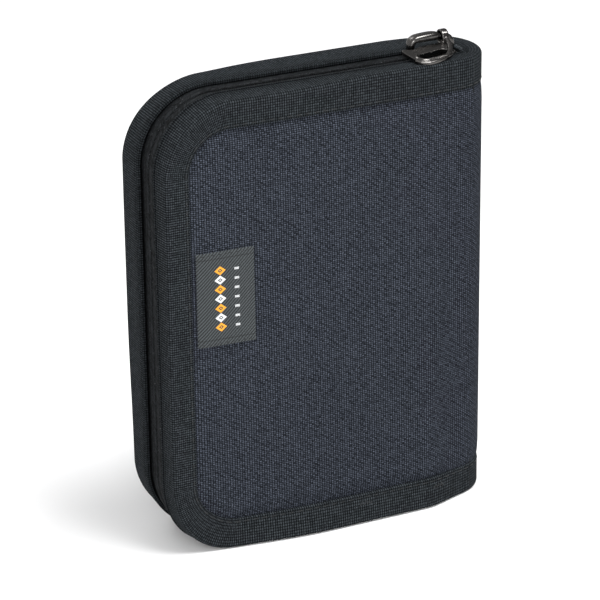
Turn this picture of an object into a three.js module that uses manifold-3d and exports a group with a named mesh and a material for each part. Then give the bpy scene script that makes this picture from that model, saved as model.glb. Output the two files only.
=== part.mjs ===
// A zip-round passport wallet, closed and standing on its bottom edge.
// Millimetres. +X runs from the zip side to the spine, the front cover faces -Y, +Z is up.
// The origin is under the middle of the wallet, on the surface that it stands on.
import * as THREE from 'three';
import { mergeVertices } from 'three/addons/utils/BufferGeometryUtils.js';
import Module from 'manifold-3d';

const wasm = await Module();
wasm.setup();

// Overall sizes
const HEIGHT = 150;
const WIDTH = 116;
const THICKNESS = 28;
const CORNER_RADIUS = 24;
const SPINE_DEPTH = 13; // the covers start to curve this far from the outermost line of the spine
const FOLD_DEPTH = 8; // the fold lines lie this far from the outermost line of the spine
const GAP = 0.3; // left between pieces that lie on each other

// Grosgrain binding, folded over the edge of each cover
const BINDING_WIDTH = 10;
const BINDING_THICKNESS = 0.8;
const EDGE_THICKNESS = 1.6; // the folded edge, with the seam allowance inside it
const FRONT_EDGE_DEPTH = 6.5;
const BACK_EDGE_DEPTH = 10;
const SPINE_EDGE_DEPTH = 5;

// Layers of a cover, from outside to inside
const FABRIC_THICKNESS = 0.7;
const FOAM_THICKNESS = 2;
const BOARD_THICKNESS = 0.8;
const LINING_THICKNESS = 0.5;

// Zip
const TAPE_THICKNESS = 0.6;
const TAPE_HIDDEN = 3.5; // width of tape sewn in behind the folded edge
const COIL_HEIGHT = 2;
const COIL_WIDTH = 2.6;
const COIL_SPACING = 1.5; // between the two halves, where the slider's post runs
const SLIDER_LENGTH = 15;
const SLIDER_NOSE_WIDTH = 9;
const SLIDER_TAIL_WIDTH = 7.4;
const PLATE_THICKNESS = 1;
const POST_LENGTH = 1.6;
const POST_WIDTH = 0.9;
const STOP_LENGTH = 0.9;
const NOSE_TO_STOP = 0.4;

// Crown and pull of the slider
const CROWN_WIDTH = 2.2;
const CROWN_BAR = 1.7;
const CROWN_CLEARANCE = 4.2; // from the slider's upper plate to the middle of the bar
const CROWN_SLOPE_LENGTH = 7.5;
const CROWN_INSET = 0.5;
const EYE_CLEARANCE = 0.3;
const EYE_WALL = 0.7;
const EYE_WIDTH = 2.4;
const EYE_TO_POST = 1.2;
const PULL_THICKNESS = 1.4;
const PULL_LENGTH = 16.5;
const PULL_REACH = 11.8; // from the bar's middle to the pull's far edge
const PULL_TIP_REACH = 2.4;
const PULL_TILT = 15; // degrees below level when the pull lies on the front edge
const SLOT_LENGTH = 9.5;
const SLOT_WIDTH = 2.6;
const SLOT_RIM = 2.2;
const SPRING_THICKNESS = 0.4;
const SPRING_WIDTH = 1.4;
const SPRING_LENGTH = 4;

// Pockets inside
const POCKET_CLOTH = 0.6;
const POCKET_SEAM = 0.8;
const POCKET_LEFT = 9.5; // from the zip side
const POCKET_RIGHT = 15; // from the outermost line of the spine
const POCKET_FLOOR = 9.5;
const POCKET_CORNER = 4;
const PASSPORT_DEPTH = 5.4;
const PASSPORT_SLEEVE_TOP = 22; // from the top of the wallet
const DOCUMENT_DEPTH = 5.2;
const DOCUMENT_POCKET_TOP = 14;
const EDGING_HEIGHT = 5;
const EDGING_CLOTH = 0.5;
const CARD_CLOTH = 0.5;
const CARD_SIDE = 2.5; // from the document pocket's sides
const CARD_FLOOR = 3;
const LOWEST_CARD_TOP = 54;
const CARD_STEP = 14;

// Woven label on the front
const LABEL_WIDTH = 19;
const LABEL_HEIGHT = 31;
const LABEL_THICKNESS = 0.7;
const LABEL_MIDDLE = 86; // height of its middle
const LABEL_TO_BINDING = 1.5;

const CURVE_STEPS = 6;
const FOLD_STEPS = 5;
const SPINE_STEPS = 24;
const DISC_STEPS = 20;

// Places worked out from the sizes
const LEFT = -WIDTH / 2;
const RIGHT = WIDTH / 2;
const FRONT = -1;
const BACK = 1;
const BEND_X = RIGHT - SPINE_DEPTH;
const FOLD_X = RIGHT - FOLD_DEPTH;
const COVER_END = FOLD_X - GAP / 2;
const SPINE_START = FOLD_X + GAP / 2;
const TAPE_INSET = EDGE_THICKNESS + GAP;
const LAYER_INSET = TAPE_INSET + TAPE_THICKNESS + GAP;
const COIL_INSET = TAPE_INSET + TAPE_THICKNESS / 2 - COIL_HEIGHT / 2;
const FABRIC_DEPTH = BINDING_THICKNESS + GAP;
const FOAM_DEPTH = FABRIC_DEPTH + FABRIC_THICKNESS + GAP;
const BOARD_DEPTH = FOAM_DEPTH + FOAM_THICKNESS + GAP;
const LINING_DEPTH = BOARD_DEPTH + BOARD_THICKNESS + GAP;
const COVER_DEPTH = LINING_DEPTH + LINING_THICKNESS;
const FRONT_EDGE_Y = -THICKNESS / 2 + FRONT_EDGE_DEPTH;
const BACK_EDGE_Y = THICKNESS / 2 - BACK_EDGE_DEPTH;
const ZIP_Y = (FRONT_EDGE_Y + BACK_EDGE_Y) / 2;

const finishes = {
  fabric: { color: 0x17191e, roughness: 0.9, metalness: 0 },
  binding: { color: 0x101213, roughness: 0.85, metalness: 0 },
  lining: { color: 0x24262b, roughness: 0.8, metalness: 0 },
  foam: { color: 0x3a3a3a, roughness: 1, metalness: 0 },
  board: { color: 0x202020, roughness: 0.6, metalness: 0 },
  zip_tape: { color: 0x0d0e10, roughness: 0.9, metalness: 0 },
  zip_coil: { color: 0x1b1c1e, roughness: 0.4, metalness: 0 },
  zip_metal: { color: 0x3c3e40, roughness: 0.3, metalness: 1 },
  label: { color: 0x3d4245, roughness: 0.8, metalness: 0 },
};

const wallet = new THREE.Group();

function addPiece(name, geometry, finish) {
  const mesh = new THREE.Mesh(geometry, new THREE.MeshStandardMaterial(finishes[finish]));
  mesh.name = name;
  wallet.add(mesh);
  return mesh;
}

// Solids for joining and cutting
function toSolid(geometry) {
  const bare = geometry.clone();
  bare.deleteAttribute('normal');
  bare.deleteAttribute('uv');
  const merged = mergeVertices(bare, 1e-4);
  const vertProperties = merged.getAttribute('position').array;
  const triVerts = Uint32Array.from(merged.getIndex().array);
  return new wasm.Manifold(new wasm.Mesh({ numProp: 3, vertProperties, triVerts }));
}

function toGeometry(solid) {
  const { vertProperties, triVerts } = solid.getMesh();
  const geometry = new THREE.BufferGeometry();
  geometry.setAttribute('position', new THREE.BufferAttribute(vertProperties, 3));
  geometry.setIndex(new THREE.BufferAttribute(triVerts, 1));
  geometry.computeVertexNormals();
  return geometry;
}

// Extrusions along the three axes. Shapes are drawn in x-y, x-z and y-z.
function alongZ(shape, z0, z1, curveSegments = CURVE_STEPS) {
  const geometry = new THREE.ExtrudeGeometry(shape, { depth: z1 - z0, bevelEnabled: false, curveSegments });
  return geometry.translate(0, 0, z0);
}

function alongY(shape, y0, y1, curveSegments = CURVE_STEPS) {
  const geometry = new THREE.ExtrudeGeometry(shape, { depth: y1 - y0, bevelEnabled: false, curveSegments });
  return geometry.rotateX(Math.PI / 2).translate(0, y1, 0);
}

function alongX(shape, x0, x1, curveSegments = CURVE_STEPS) {
  const geometry = new THREE.ExtrudeGeometry(shape, { depth: x1 - x0, bevelEnabled: false, curveSegments });
  return geometry.rotateX(Math.PI / 2).rotateZ(Math.PI / 2).translate(x0, 0, 0);
}

function polygon(points) {
  return new THREE.Shape(points.map(([a, b]) => new THREE.Vector2(a, b)));
}

function rectangle(a0, b0, a1, b1) {
  return polygon([[a0, b0], [a1, b0], [a1, b1], [a0, b1]]);
}

function disc(radius) {
  const step = (2 * Math.PI) / DISC_STEPS;
  const points = Array.from({ length: DISC_STEPS }, (_, i) => [Math.cos(i * step), Math.sin(i * step)]);
  return polygon(points.map(([a, b]) => [radius * a, radius * b]));
}

// Adds the two rounded corners at the zip side, pulled in by an inset, upwards or downwards
function addCorners(shape, inset, upwards) {
  const radius = CORNER_RADIUS - inset;
  const cornerX = LEFT + CORNER_RADIUS;
  const top = HEIGHT - CORNER_RADIUS;
  if (upwards) {
    shape.absarc(cornerX, CORNER_RADIUS, radius, -Math.PI / 2, -Math.PI, true);
    shape.absarc(cornerX, top, radius, Math.PI, Math.PI / 2, true);
  } else {
    shape.absarc(cornerX, top, radius, Math.PI / 2, Math.PI, false);
    shape.absarc(cornerX, CORNER_RADIUS, radius, Math.PI, 1.5 * Math.PI, false);
  }
}

// Outline of a cover seen from the front, pulled in by an inset
function coverShape(inset, xEnd) {
  const shape = new THREE.Shape();
  shape.moveTo(xEnd, HEIGHT - inset);
  shape.lineTo(xEnd, inset);
  addCorners(shape, inset, true);
  return shape;
}

// A band round the three open sides, between two insets
function bandShape(outer, inner, xEnd) {
  const shape = new THREE.Shape();
  shape.moveTo(xEnd, inner);
  shape.lineTo(xEnd, outer);
  addCorners(shape, outer, true);
  shape.lineTo(xEnd, HEIGHT - outer);
  shape.lineTo(xEnd, HEIGHT - inner);
  addCorners(shape, inner, false);
  return shape;
}

// Half the thickness of the wallet at x: level, then an ellipse into the spine
function halfThickness(x) {
  const along = Math.max(0, x - BEND_X) / SPINE_DEPTH;
  return (THICKNESS / 2) * Math.sqrt(1 - along * along);
}

// A sheet that follows one cover between two depths below its outer face, seen from above
function coverStrip(side, from, to) {
  const xs = [LEFT - 1];
  for (let i = 0; i <= FOLD_STEPS; i += 1) {
    xs.push(BEND_X + ((COVER_END - BEND_X) * i) / FOLD_STEPS);
  }
  const outer = xs.map((x) => [x, side * (halfThickness(x) - from)]);
  const inner = xs.map((x) => [x, side * (halfThickness(x) - to)]);
  return polygon([...outer, ...inner.reverse()]);
}

function sheetInOutline(side, from, to, outline) {
  const sheet = toSolid(alongZ(coverStrip(side, from, to), -1, HEIGHT + 1));
  return sheet.intersect(toSolid(alongY(outline, -THICKNESS, THICKNESS)));
}

function coverLayer(side, depth, thickness) {
  const outline = coverShape(LAYER_INSET, RIGHT);
  return toGeometry(sheetInOutline(side, depth, depth + thickness, outline));
}

function coverBinding(side, edgeDepth) {
  const face = sheetInOutline(side, 0, BINDING_THICKNESS, bandShape(0, BINDING_WIDTH, RIGHT));
  const edge = sheetInOutline(side, 0, edgeDepth, bandShape(0, EDGE_THICKNESS, RIGHT));
  return toGeometry(face.add(edge));
}

// The spine: the end of the ellipse between the two fold lines, at a depth below its outer face
function spinePoints(depth) {
  const a = SPINE_DEPTH - depth;
  const b = THICKNESS / 2 - depth;
  const reach = Math.acos((SPINE_START - BEND_X) / a);
  const points = [];
  for (let i = 0; i <= SPINE_STEPS; i += 1) {
    const angle = -reach + (2 * reach * i) / SPINE_STEPS;
    points.push([BEND_X + a * Math.cos(angle), b * Math.sin(angle)]);
  }
  return points;
}

function spineStrip(from, to) {
  return polygon([...spinePoints(from), ...spinePoints(to).reverse()]);
}

function spineLayer(depth, thickness) {
  return alongZ(spineStrip(depth, depth + thickness), LAYER_INSET, HEIGHT - LAYER_INSET);
}

function spineBinding(atTop) {
  const edgeZ = atTop ? [HEIGHT - EDGE_THICKNESS, HEIGHT] : [0, EDGE_THICKNESS];
  const faceZ = atTop ? [HEIGHT - BINDING_WIDTH, HEIGHT] : [0, BINDING_WIDTH];
  const face = toSolid(alongZ(spineStrip(0, BINDING_THICKNESS), ...faceZ));
  const edge = toSolid(alongZ(spineStrip(0, SPINE_EDGE_DEPTH), ...edgeZ));
  return toGeometry(face.add(edge));
}

// Covers and spine
addPiece('front_outer_fabric', coverLayer(FRONT, FABRIC_DEPTH, FABRIC_THICKNESS), 'fabric');
addPiece('front_foam', coverLayer(FRONT, FOAM_DEPTH, FOAM_THICKNESS), 'foam');
addPiece('front_stiffener', coverLayer(FRONT, BOARD_DEPTH, BOARD_THICKNESS), 'board');
addPiece('front_lining', coverLayer(FRONT, LINING_DEPTH, LINING_THICKNESS), 'lining');
addPiece('front_binding', coverBinding(FRONT, FRONT_EDGE_DEPTH), 'binding');

addPiece('back_outer_fabric', coverLayer(BACK, FABRIC_DEPTH, FABRIC_THICKNESS), 'fabric');
addPiece('back_foam', coverLayer(BACK, FOAM_DEPTH, FOAM_THICKNESS), 'foam');
addPiece('back_stiffener', coverLayer(BACK, BOARD_DEPTH, BOARD_THICKNESS), 'board');
addPiece('back_lining', coverLayer(BACK, LINING_DEPTH, LINING_THICKNESS), 'lining');
addPiece('back_binding', coverBinding(BACK, BACK_EDGE_DEPTH), 'binding');

addPiece('spine_outer_fabric', spineLayer(FABRIC_DEPTH, FABRIC_THICKNESS), 'fabric');
addPiece('spine_foam', spineLayer(FOAM_DEPTH, SPINE_EDGE_DEPTH - LINING_THICKNESS - GAP - FOAM_DEPTH), 'foam');
addPiece('spine_lining', spineLayer(SPINE_EDGE_DEPTH - LINING_THICKNESS, LINING_THICKNESS), 'lining');
addPiece('spine_binding_top', spineBinding(true), 'binding');
addPiece('spine_binding_bottom', spineBinding(false), 'binding');

// Zip halves: a tape sewn in behind each folded edge, with a coil along its free side
const SLIDER_NOSE = COVER_END - STOP_LENGTH - NOSE_TO_STOP;
const SLIDER_TAIL = SLIDER_NOSE - SLIDER_LENGTH;
const COIL_END = COVER_END - STOP_LENGTH - GAP;
const FRONT_COIL = [ZIP_Y - COIL_SPACING / 2 - COIL_WIDTH, ZIP_Y - COIL_SPACING / 2];
const BACK_COIL = [ZIP_Y + COIL_SPACING / 2, ZIP_Y + COIL_SPACING / 2 + COIL_WIDTH];
const tapeBand = bandShape(TAPE_INSET, TAPE_INSET + TAPE_THICKNESS, COVER_END);
const coilBand = bandShape(COIL_INSET, COIL_INSET + COIL_HEIGHT, COIL_END);
const COIL_TOP = HEIGHT - COIL_INSET;

function zipStop(coil, z0) {
  return alongZ(rectangle(COVER_END - STOP_LENGTH, coil[0], COVER_END, coil[1]), z0, z0 + COIL_HEIGHT);
}

addPiece('front_zip_tape', alongY(tapeBand, FRONT_EDGE_Y - TAPE_HIDDEN, FRONT_COIL[0] - GAP), 'zip_tape');
addPiece('back_zip_tape', alongY(tapeBand, BACK_COIL[1] + GAP, BACK_EDGE_Y + TAPE_HIDDEN), 'zip_tape');
addPiece('front_zip_coil', alongY(coilBand, ...FRONT_COIL), 'zip_coil');
addPiece('back_zip_coil', alongY(coilBand, ...BACK_COIL), 'zip_coil');
addPiece('front_zip_stop', zipStop(FRONT_COIL, COIL_TOP - COIL_HEIGHT), 'zip_metal');
addPiece('back_zip_stop', zipStop(BACK_COIL, COIL_TOP - COIL_HEIGHT), 'zip_metal');
addPiece('zip_bottom_stop', zipStop(BACK_COIL, COIL_INSET), 'zip_metal');

// Slider body: two plates over and under the coils, held together by the post between the coils
const PLATE_TOP = COIL_TOP + GAP + PLATE_THICKNESS;

function sliderPlate(z0) {
  const nose = SLIDER_NOSE_WIDTH / 2;
  const tail = SLIDER_TAIL_WIDTH / 2;
  const waist = SLIDER_TAIL + SLIDER_LENGTH / 2;
  const shape = new THREE.Shape();
  shape.moveTo(SLIDER_TAIL, ZIP_Y - tail);
  shape.lineTo(waist, ZIP_Y - tail);
  shape.quadraticCurveTo(SLIDER_NOSE - 1, ZIP_Y - nose, SLIDER_NOSE, ZIP_Y - nose);
  shape.lineTo(SLIDER_NOSE, ZIP_Y + nose);
  shape.quadraticCurveTo(SLIDER_NOSE - 1, ZIP_Y + nose, waist, ZIP_Y + tail);
  shape.lineTo(SLIDER_TAIL, ZIP_Y + tail);
  return toSolid(alongZ(shape, z0, z0 + PLATE_THICKNESS));
}

function sliderBody() {
  const upper = sliderPlate(PLATE_TOP - PLATE_THICKNESS);
  const lowerZ = COIL_TOP - COIL_HEIGHT - GAP - PLATE_THICKNESS;
  const lower = sliderPlate(lowerZ);
  const postEnd = SLIDER_NOSE - CROWN_INSET;
  const half = POST_WIDTH / 2;
  const postShape = rectangle(postEnd - POST_LENGTH, ZIP_Y - half, postEnd, ZIP_Y + half);
  const post = toSolid(alongZ(postShape, lowerZ + PLATE_THICKNESS / 2, PLATE_TOP - PLATE_THICKNESS / 2));
  return toGeometry(upper.add(lower).add(post));
}

// Crown: an arch along the slider, sloping up from the tail to a level bar near the nose
const BAR_Z = PLATE_TOP + CROWN_CLEARANCE;
const CROWN_TAIL = SLIDER_TAIL + CROWN_INSET;
const CROWN_NOSE = SLIDER_NOSE - CROWN_INSET;

function sliderCrown() {
  const foot = PLATE_TOP + GAP;
  const barTop = BAR_Z + CROWN_BAR / 2;
  const barUnder = BAR_Z - CROWN_BAR / 2;
  const levelFrom = CROWN_TAIL + CROWN_SLOPE_LENGTH;
  const shape = polygon([
    [CROWN_TAIL, foot],
    [CROWN_TAIL + CROWN_BAR, foot],
    [CROWN_TAIL + CROWN_BAR, foot + 1],
    [levelFrom, barUnder],
    [CROWN_NOSE - CROWN_BAR, barUnder],
    [CROWN_NOSE - CROWN_BAR, foot],
    [CROWN_NOSE, foot],
    [CROWN_NOSE, barTop - 1],
    [CROWN_NOSE - 1, barTop],
    [levelFrom - 1, barTop],
    [CROWN_TAIL, foot + 2],
  ]);
  return alongY(shape, ZIP_Y - CROWN_WIDTH / 2, ZIP_Y + CROWN_WIDTH / 2);
}

// Spring leaf of the slider's lock, lying on the upper plate under the crown
function lockSpring() {
  const x0 = CROWN_TAIL + CROWN_BAR + GAP;
  const z0 = PLATE_TOP + GAP;
  const shape = rectangle(x0, z0, x0 + SPRING_LENGTH, z0 + SPRING_THICKNESS);
  return alongY(shape, ZIP_Y - SPRING_WIDTH / 2, ZIP_Y + SPRING_WIDTH / 2);
}

// Pull: a cast tab with an oval slot and an eye round the crown's bar. It is drawn about the bar, lying
// level towards -Y, then tilted down to rest over the front edge.
const EYE_INNER = Math.hypot(CROWN_WIDTH, CROWN_BAR) / 2 + EYE_CLEARANCE;
const EYE_OUTER = EYE_INNER + EYE_WALL;
const EYE_END = CROWN_NOSE - CROWN_BAR - GAP;

function sliderPull() {
  const eyeStart = EYE_END - EYE_WIDTH;
  const eye = toSolid(alongX(disc(EYE_OUTER), eyeStart, EYE_END));
  const bore = toSolid(alongX(disc(EYE_INNER), eyeStart - 1, EYE_END + 1));

  const tip = EYE_END - PULL_LENGTH;
  const slotEnd = EYE_END - SLOT_RIM;
  const slotStart = slotEnd - SLOT_LENGTH;
  const slotY = -PULL_REACH + SLOT_RIM + SLOT_WIDTH / 2;
  const outline = new THREE.Shape();
  outline.moveTo(EYE_END, -EYE_INNER);
  outline.lineTo(EYE_END, slotY);
  outline.quadraticCurveTo(EYE_END, -PULL_REACH, slotEnd - SLOT_RIM, -PULL_REACH);
  outline.lineTo(slotStart + SLOT_RIM, -PULL_REACH);
  outline.quadraticCurveTo(slotStart - SLOT_RIM, -PULL_REACH, slotStart - SLOT_RIM, slotY);
  outline.lineTo(tip, -PULL_TIP_REACH - EYE_TO_POST);
  outline.lineTo(tip + EYE_TO_POST, -PULL_TIP_REACH);
  outline.lineTo(eyeStart, -PULL_TIP_REACH);
  outline.lineTo(eyeStart, -EYE_INNER);
  const slot = new THREE.Path();
  const end = SLOT_WIDTH / 2;
  slot.absarc(slotEnd - end, slotY, end, -Math.PI / 2, Math.PI / 2, false);
  slot.absarc(slotStart + end, slotY, end, Math.PI / 2, 1.5 * Math.PI, false);
  outline.holes.push(slot);
  const tab = toSolid(alongZ(outline, -PULL_THICKNESS / 2, PULL_THICKNESS / 2, 4));

  const geometry = toGeometry(eye.add(tab).subtract(bore));
  return geometry.rotateX(THREE.MathUtils.degToRad(PULL_TILT)).translate(0, ZIP_Y, BAR_Z);
}

addPiece('slider_body', sliderBody(), 'zip_metal');
addPiece('slider_crown', sliderCrown(), 'zip_metal');
addPiece('slider_lock_spring', lockSpring(), 'zip_metal');
addPiece('slider_pull', sliderPull(), 'zip_metal');

// Pockets: a cloth panel held off the lining by its sewn sides, open at the top
const POCKET_X0 = LEFT + POCKET_LEFT;
const POCKET_X1 = RIGHT - POCKET_RIGHT;
const LINING_Y = THICKNESS / 2 - COVER_DEPTH;

function pocketShape(inset, top) {
  const radius = POCKET_CORNER - inset;
  const shape = new THREE.Shape();
  shape.moveTo(POCKET_X1 - inset, top);
  shape.lineTo(POCKET_X1 - inset, POCKET_FLOOR + inset);
  shape.lineTo(POCKET_X0 + POCKET_CORNER, POCKET_FLOOR + inset);
  shape.absarc(POCKET_X0 + POCKET_CORNER, POCKET_FLOOR + POCKET_CORNER, radius, -Math.PI / 2, -Math.PI, true);
  shape.lineTo(POCKET_X0 + inset, top);
  return shape;
}

function pocket(side, depth, top) {
  const outerY = side * (LINING_Y - depth - POCKET_CLOTH);
  const innerY = side * (LINING_Y - depth);
  const liningY = side * (LINING_Y - GAP);
  const between = (a, b) => [Math.min(a, b), Math.max(a, b)];
  const block = toSolid(alongY(pocketShape(0, top), ...between(outerY, liningY)));
  const hollow = toSolid(alongY(pocketShape(POCKET_SEAM, top + 1), ...between(innerY, liningY + side)));
  return toGeometry(block.subtract(hollow));
}

// Tape folded over the top of a pocket's panel
function pocketEdging(side, depth, top) {
  const near = side * (LINING_Y - depth + GAP);
  const far = side * (LINING_Y - depth - POCKET_CLOTH - GAP);
  const z0 = top - EDGING_HEIGHT;
  const z1 = top + GAP;
  const shape = polygon([
    [near, z0],
    [near + side * EDGING_CLOTH, z0],
    [near + side * EDGING_CLOTH, z1 + EDGING_CLOTH],
    [far - side * EDGING_CLOTH, z1 + EDGING_CLOTH],
    [far - side * EDGING_CLOTH, z0],
    [far, z0],
    [far, z1],
    [near, z1],
  ]);
  return alongX(shape, POCKET_X0 + POCKET_SEAM + GAP, POCKET_X1 - POCKET_SEAM - GAP);
}

const SLEEVE_TOP = HEIGHT - PASSPORT_SLEEVE_TOP;
const DOCUMENT_TOP = HEIGHT - DOCUMENT_POCKET_TOP;
addPiece('passport_sleeve', pocket(FRONT, PASSPORT_DEPTH, SLEEVE_TOP), 'lining');
addPiece('passport_sleeve_edging', pocketEdging(FRONT, PASSPORT_DEPTH, SLEEVE_TOP), 'binding');
addPiece('document_pocket', pocket(BACK, DOCUMENT_DEPTH, DOCUMENT_TOP), 'lining');
addPiece('document_pocket_edging', pocketEdging(BACK, DOCUMENT_DEPTH, DOCUMENT_TOP), 'binding');

// Card slots: three stepped panels in front of the document pocket
const CARD_BACK_Y = LINING_Y - DOCUMENT_DEPTH - POCKET_CLOTH;
['high', 'middle', 'low'].forEach((name, i) => {
  const y1 = CARD_BACK_Y - GAP - i * (CARD_CLOTH + GAP);
  const top = LOWEST_CARD_TOP + (2 - i) * CARD_STEP;
  const shape = rectangle(POCKET_X0 + CARD_SIDE, POCKET_FLOOR + CARD_FLOOR, POCKET_X1 - CARD_SIDE, top);
  addPiece(`card_slot_${name}`, alongY(shape, y1 - CARD_CLOTH, y1), 'lining');
});

// Label, sewn on beside the binding
const LABEL_X = LEFT + BINDING_WIDTH + LABEL_TO_BINDING;
const LABEL_Y = -THICKNESS / 2 + FABRIC_DEPTH - GAP;
const labelShape = rectangle(
  LABEL_X,
  LABEL_MIDDLE - LABEL_HEIGHT / 2,
  LABEL_X + LABEL_WIDTH,
  LABEL_MIDDLE + LABEL_HEIGHT / 2,
);
addPiece('woven_label', alongY(labelShape, LABEL_Y - LABEL_THICKNESS, LABEL_Y), 'label');

export default wallet;
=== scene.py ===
"""A padded passport wallet with a zip round three sides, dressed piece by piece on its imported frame.

Everything is in metres. +X runs from the zip side to the spine, the front cover faces -Y, +Z is up.
A place on a cover is given by its inset, the distance in from the cover's edge, and by its depth,
the distance below the cover's outermost face.
"""

import math

import bmesh
import bpy
import numpy as np
from bpy.props import FloatProperty, FloatVectorProperty, PointerProperty
from mathutils import Matrix, Vector


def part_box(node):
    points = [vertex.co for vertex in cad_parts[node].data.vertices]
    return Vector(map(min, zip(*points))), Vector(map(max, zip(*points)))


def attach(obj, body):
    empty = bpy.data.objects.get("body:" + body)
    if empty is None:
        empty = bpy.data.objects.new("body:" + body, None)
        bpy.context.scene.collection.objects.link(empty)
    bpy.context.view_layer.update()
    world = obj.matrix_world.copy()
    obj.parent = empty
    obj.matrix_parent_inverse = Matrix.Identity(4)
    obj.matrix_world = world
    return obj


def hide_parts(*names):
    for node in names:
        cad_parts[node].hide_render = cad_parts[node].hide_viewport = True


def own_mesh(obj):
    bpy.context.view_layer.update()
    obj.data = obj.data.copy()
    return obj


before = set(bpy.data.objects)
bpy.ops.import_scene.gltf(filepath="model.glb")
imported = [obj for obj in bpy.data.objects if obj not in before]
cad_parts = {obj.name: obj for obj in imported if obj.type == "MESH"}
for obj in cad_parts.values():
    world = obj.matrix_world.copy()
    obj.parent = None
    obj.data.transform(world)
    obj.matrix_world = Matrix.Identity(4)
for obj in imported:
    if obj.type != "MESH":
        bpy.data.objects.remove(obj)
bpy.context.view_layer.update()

bl_info = {
    "name": "Zip-round passport wallet",
    "version": (1, 0, 0),
    "blender": (4, 5, 0),
    "location": "3D View > Sidebar > Wallet",
    "description": "Makes the cloth, tape, zip, label and pockets of a padded passport wallet",
    "category": "Object",
}

MM = 0.001
FRONT = -1
BACK = 1
BODY = {FRONT: "front_cover", BACK: "back_cover"}
WORD = {FRONT: "front", BACK: "back"}

# Places read from the frame
FRONT_LOW, FRONT_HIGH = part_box("front_binding")
BACK_LOW, BACK_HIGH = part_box("back_binding")
SPINE_LOW, SPINE_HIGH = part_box("spine_binding_top")
HEIGHT = FRONT_HIGH.z
ZIP_SIDE = FRONT_LOW.x
HALF = BACK_HIGH.y
SPINE_OUT = SPINE_HIGH.x
FOLD = (FRONT_HIGH.x + SPINE_LOW.x) / 2
WALL = {FRONT: FRONT_HIGH.y - FRONT_LOW.y, BACK: BACK_HIGH.y - BACK_LOW.y}
ZIP_MIDDLE = (FRONT_HIGH.y + BACK_LOW.y) / 2

# Depths of the layers below a cover's outermost face
OUTER_THICKNESS = 0.65 * MM
FOAM_TOP = 0.8 * MM
BOARD_TOP = 4.4 * MM
BOARD_BOTTOM = 5.2 * MM
LINING_TOP = 5.45 * MM
LINING_BOTTOM = 5.95 * MM
POCKET_BACK = 6.15 * MM

# Sewing
SEAM_FROM_EDGE = 1.05 * MM
TACK_STITCHES = 7

# Length of the spine's curve from its middle to a fold line
SPINE_ARC = 17.3 * MM


class WalletSizes(bpy.types.PropertyGroup):
    """Sizes of the sewn work, in metres"""

    corner_radius: FloatProperty(
        name="Corner radius", description="Rounding of the covers at the zip side",
        default=24 * MM, unit="LENGTH")
    spine_depth: FloatProperty(
        name="Spine depth", description="How far from the spine's outermost line the covers start to curve",
        default=13 * MM, unit="LENGTH")
    binding_width: FloatProperty(
        name="Binding width", description="Width of the edge tape on the face of a cover",
        default=10 * MM, unit="LENGTH")
    binding_roll: FloatProperty(
        name="Binding roll", description="Radius at which the edge tape folds over the edge",
        default=1.3 * MM, unit="LENGTH")
    cloth_sunk: FloatProperty(
        name="Cloth under tape", description="Depth of the outer cloth where the edge tape covers it",
        default=1.0 * MM, unit="LENGTH")
    cloth_crown: FloatProperty(
        name="Cloth in the panel", description="Depth of the outer cloth in the middle of the padded panel",
        default=0.15 * MM, unit="LENGTH")
    front_step: FloatProperty(
        name="Front step",
        description="How far the front cover stands back from the back one at the zip side",
        default=1.1 * MM, unit="LENGTH")
    corner_fill: FloatProperty(
        name="Corner fill", description="How far the front cover's lower corner is stuffed out",
        default=1.1 * MM, unit="LENGTH")
    wall_lean: FloatProperty(
        name="Wall lean", description="How far the front cover's wall leans in towards its face",
        default=1.1 * MM, unit="LENGTH")
    puff: FloatProperty(
        name="Puff", description="How far the padding swells a cover's face at its fullest place",
        default=3.0 * MM, unit="LENGTH")
    stitch_length: FloatProperty(
        name="Stitch length", description="Distance from one needle hole to the next",
        default=3 * MM, unit="LENGTH")
    tooth_pitch: FloatProperty(
        name="Tooth pitch", description="Distance from one turn of the zip coil to the next",
        default=1.3 * MM, unit="LENGTH")
    mesh_step: FloatProperty(
        name="Mesh step", description="Distance between the points of a cloth mesh",
        default=1.3 * MM, unit="LENGTH")


class WalletColours(bpy.types.PropertyGroup):
    """Colours and thread pitches of the wallet's finishes"""

    cloth: FloatVectorProperty(
        name="Outer cloth", description="Blue-black nylon of the panels and the spine",
        subtype="COLOR", size=3, default=(0.0236, 0.0270, 0.0348))
    binding: FloatVectorProperty(
        name="Edge tape", description="Ribbed tape folded over the edges",
        subtype="COLOR", size=3, default=(0.0160, 0.0186, 0.0208))
    lining: FloatVectorProperty(
        name="Lining", description="Fine nylon inside the wallet",
        subtype="COLOR", size=3, default=(0.026, 0.029, 0.035))
    zip_tape: FloatVectorProperty(
        name="Zip tape", description="Herringbone tape of the zip",
        subtype="COLOR", size=3, default=(0.0085, 0.0095, 0.0105))
    metal: FloatVectorProperty(
        name="Zip metal", description="Black nickel of the slider and the pull",
        subtype="COLOR", size=3, default=(0.115, 0.110, 0.106))
    label: FloatVectorProperty(
        name="Label", description="Satin ground of the woven label",
        subtype="COLOR", size=3, default=(0.019, 0.022, 0.0235))
    motif: FloatVectorProperty(
        name="Label motif", description="Second colour of the label's row of lozenges",
        subtype="COLOR", size=3, default=(0.80, 0.34, 0.03))
    warp_pitch: FloatProperty(
        name="Warp pitch", description="Distance between the outer cloth's upright threads, in millimetres",
        default=0.82)
    weft_pitch: FloatProperty(
        name="Weft pitch", description="Distance between the outer cloth's level threads, in millimetres",
        default=0.64)


# ---------------------------------------------------------------- lines and arrays of points


def together(*parts):
    """Points or pairs from arrays of their single coordinates."""
    return np.stack(np.broadcast_arrays(*parts), -1)


def unit(vectors):
    """The same directions, each of length one."""
    return vectors / np.linalg.norm(vectors, axis=1, keepdims=True)


def full_turn(count):
    """Even angles round a full turn."""
    return np.arange(count) * 2 * math.pi / count


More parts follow.
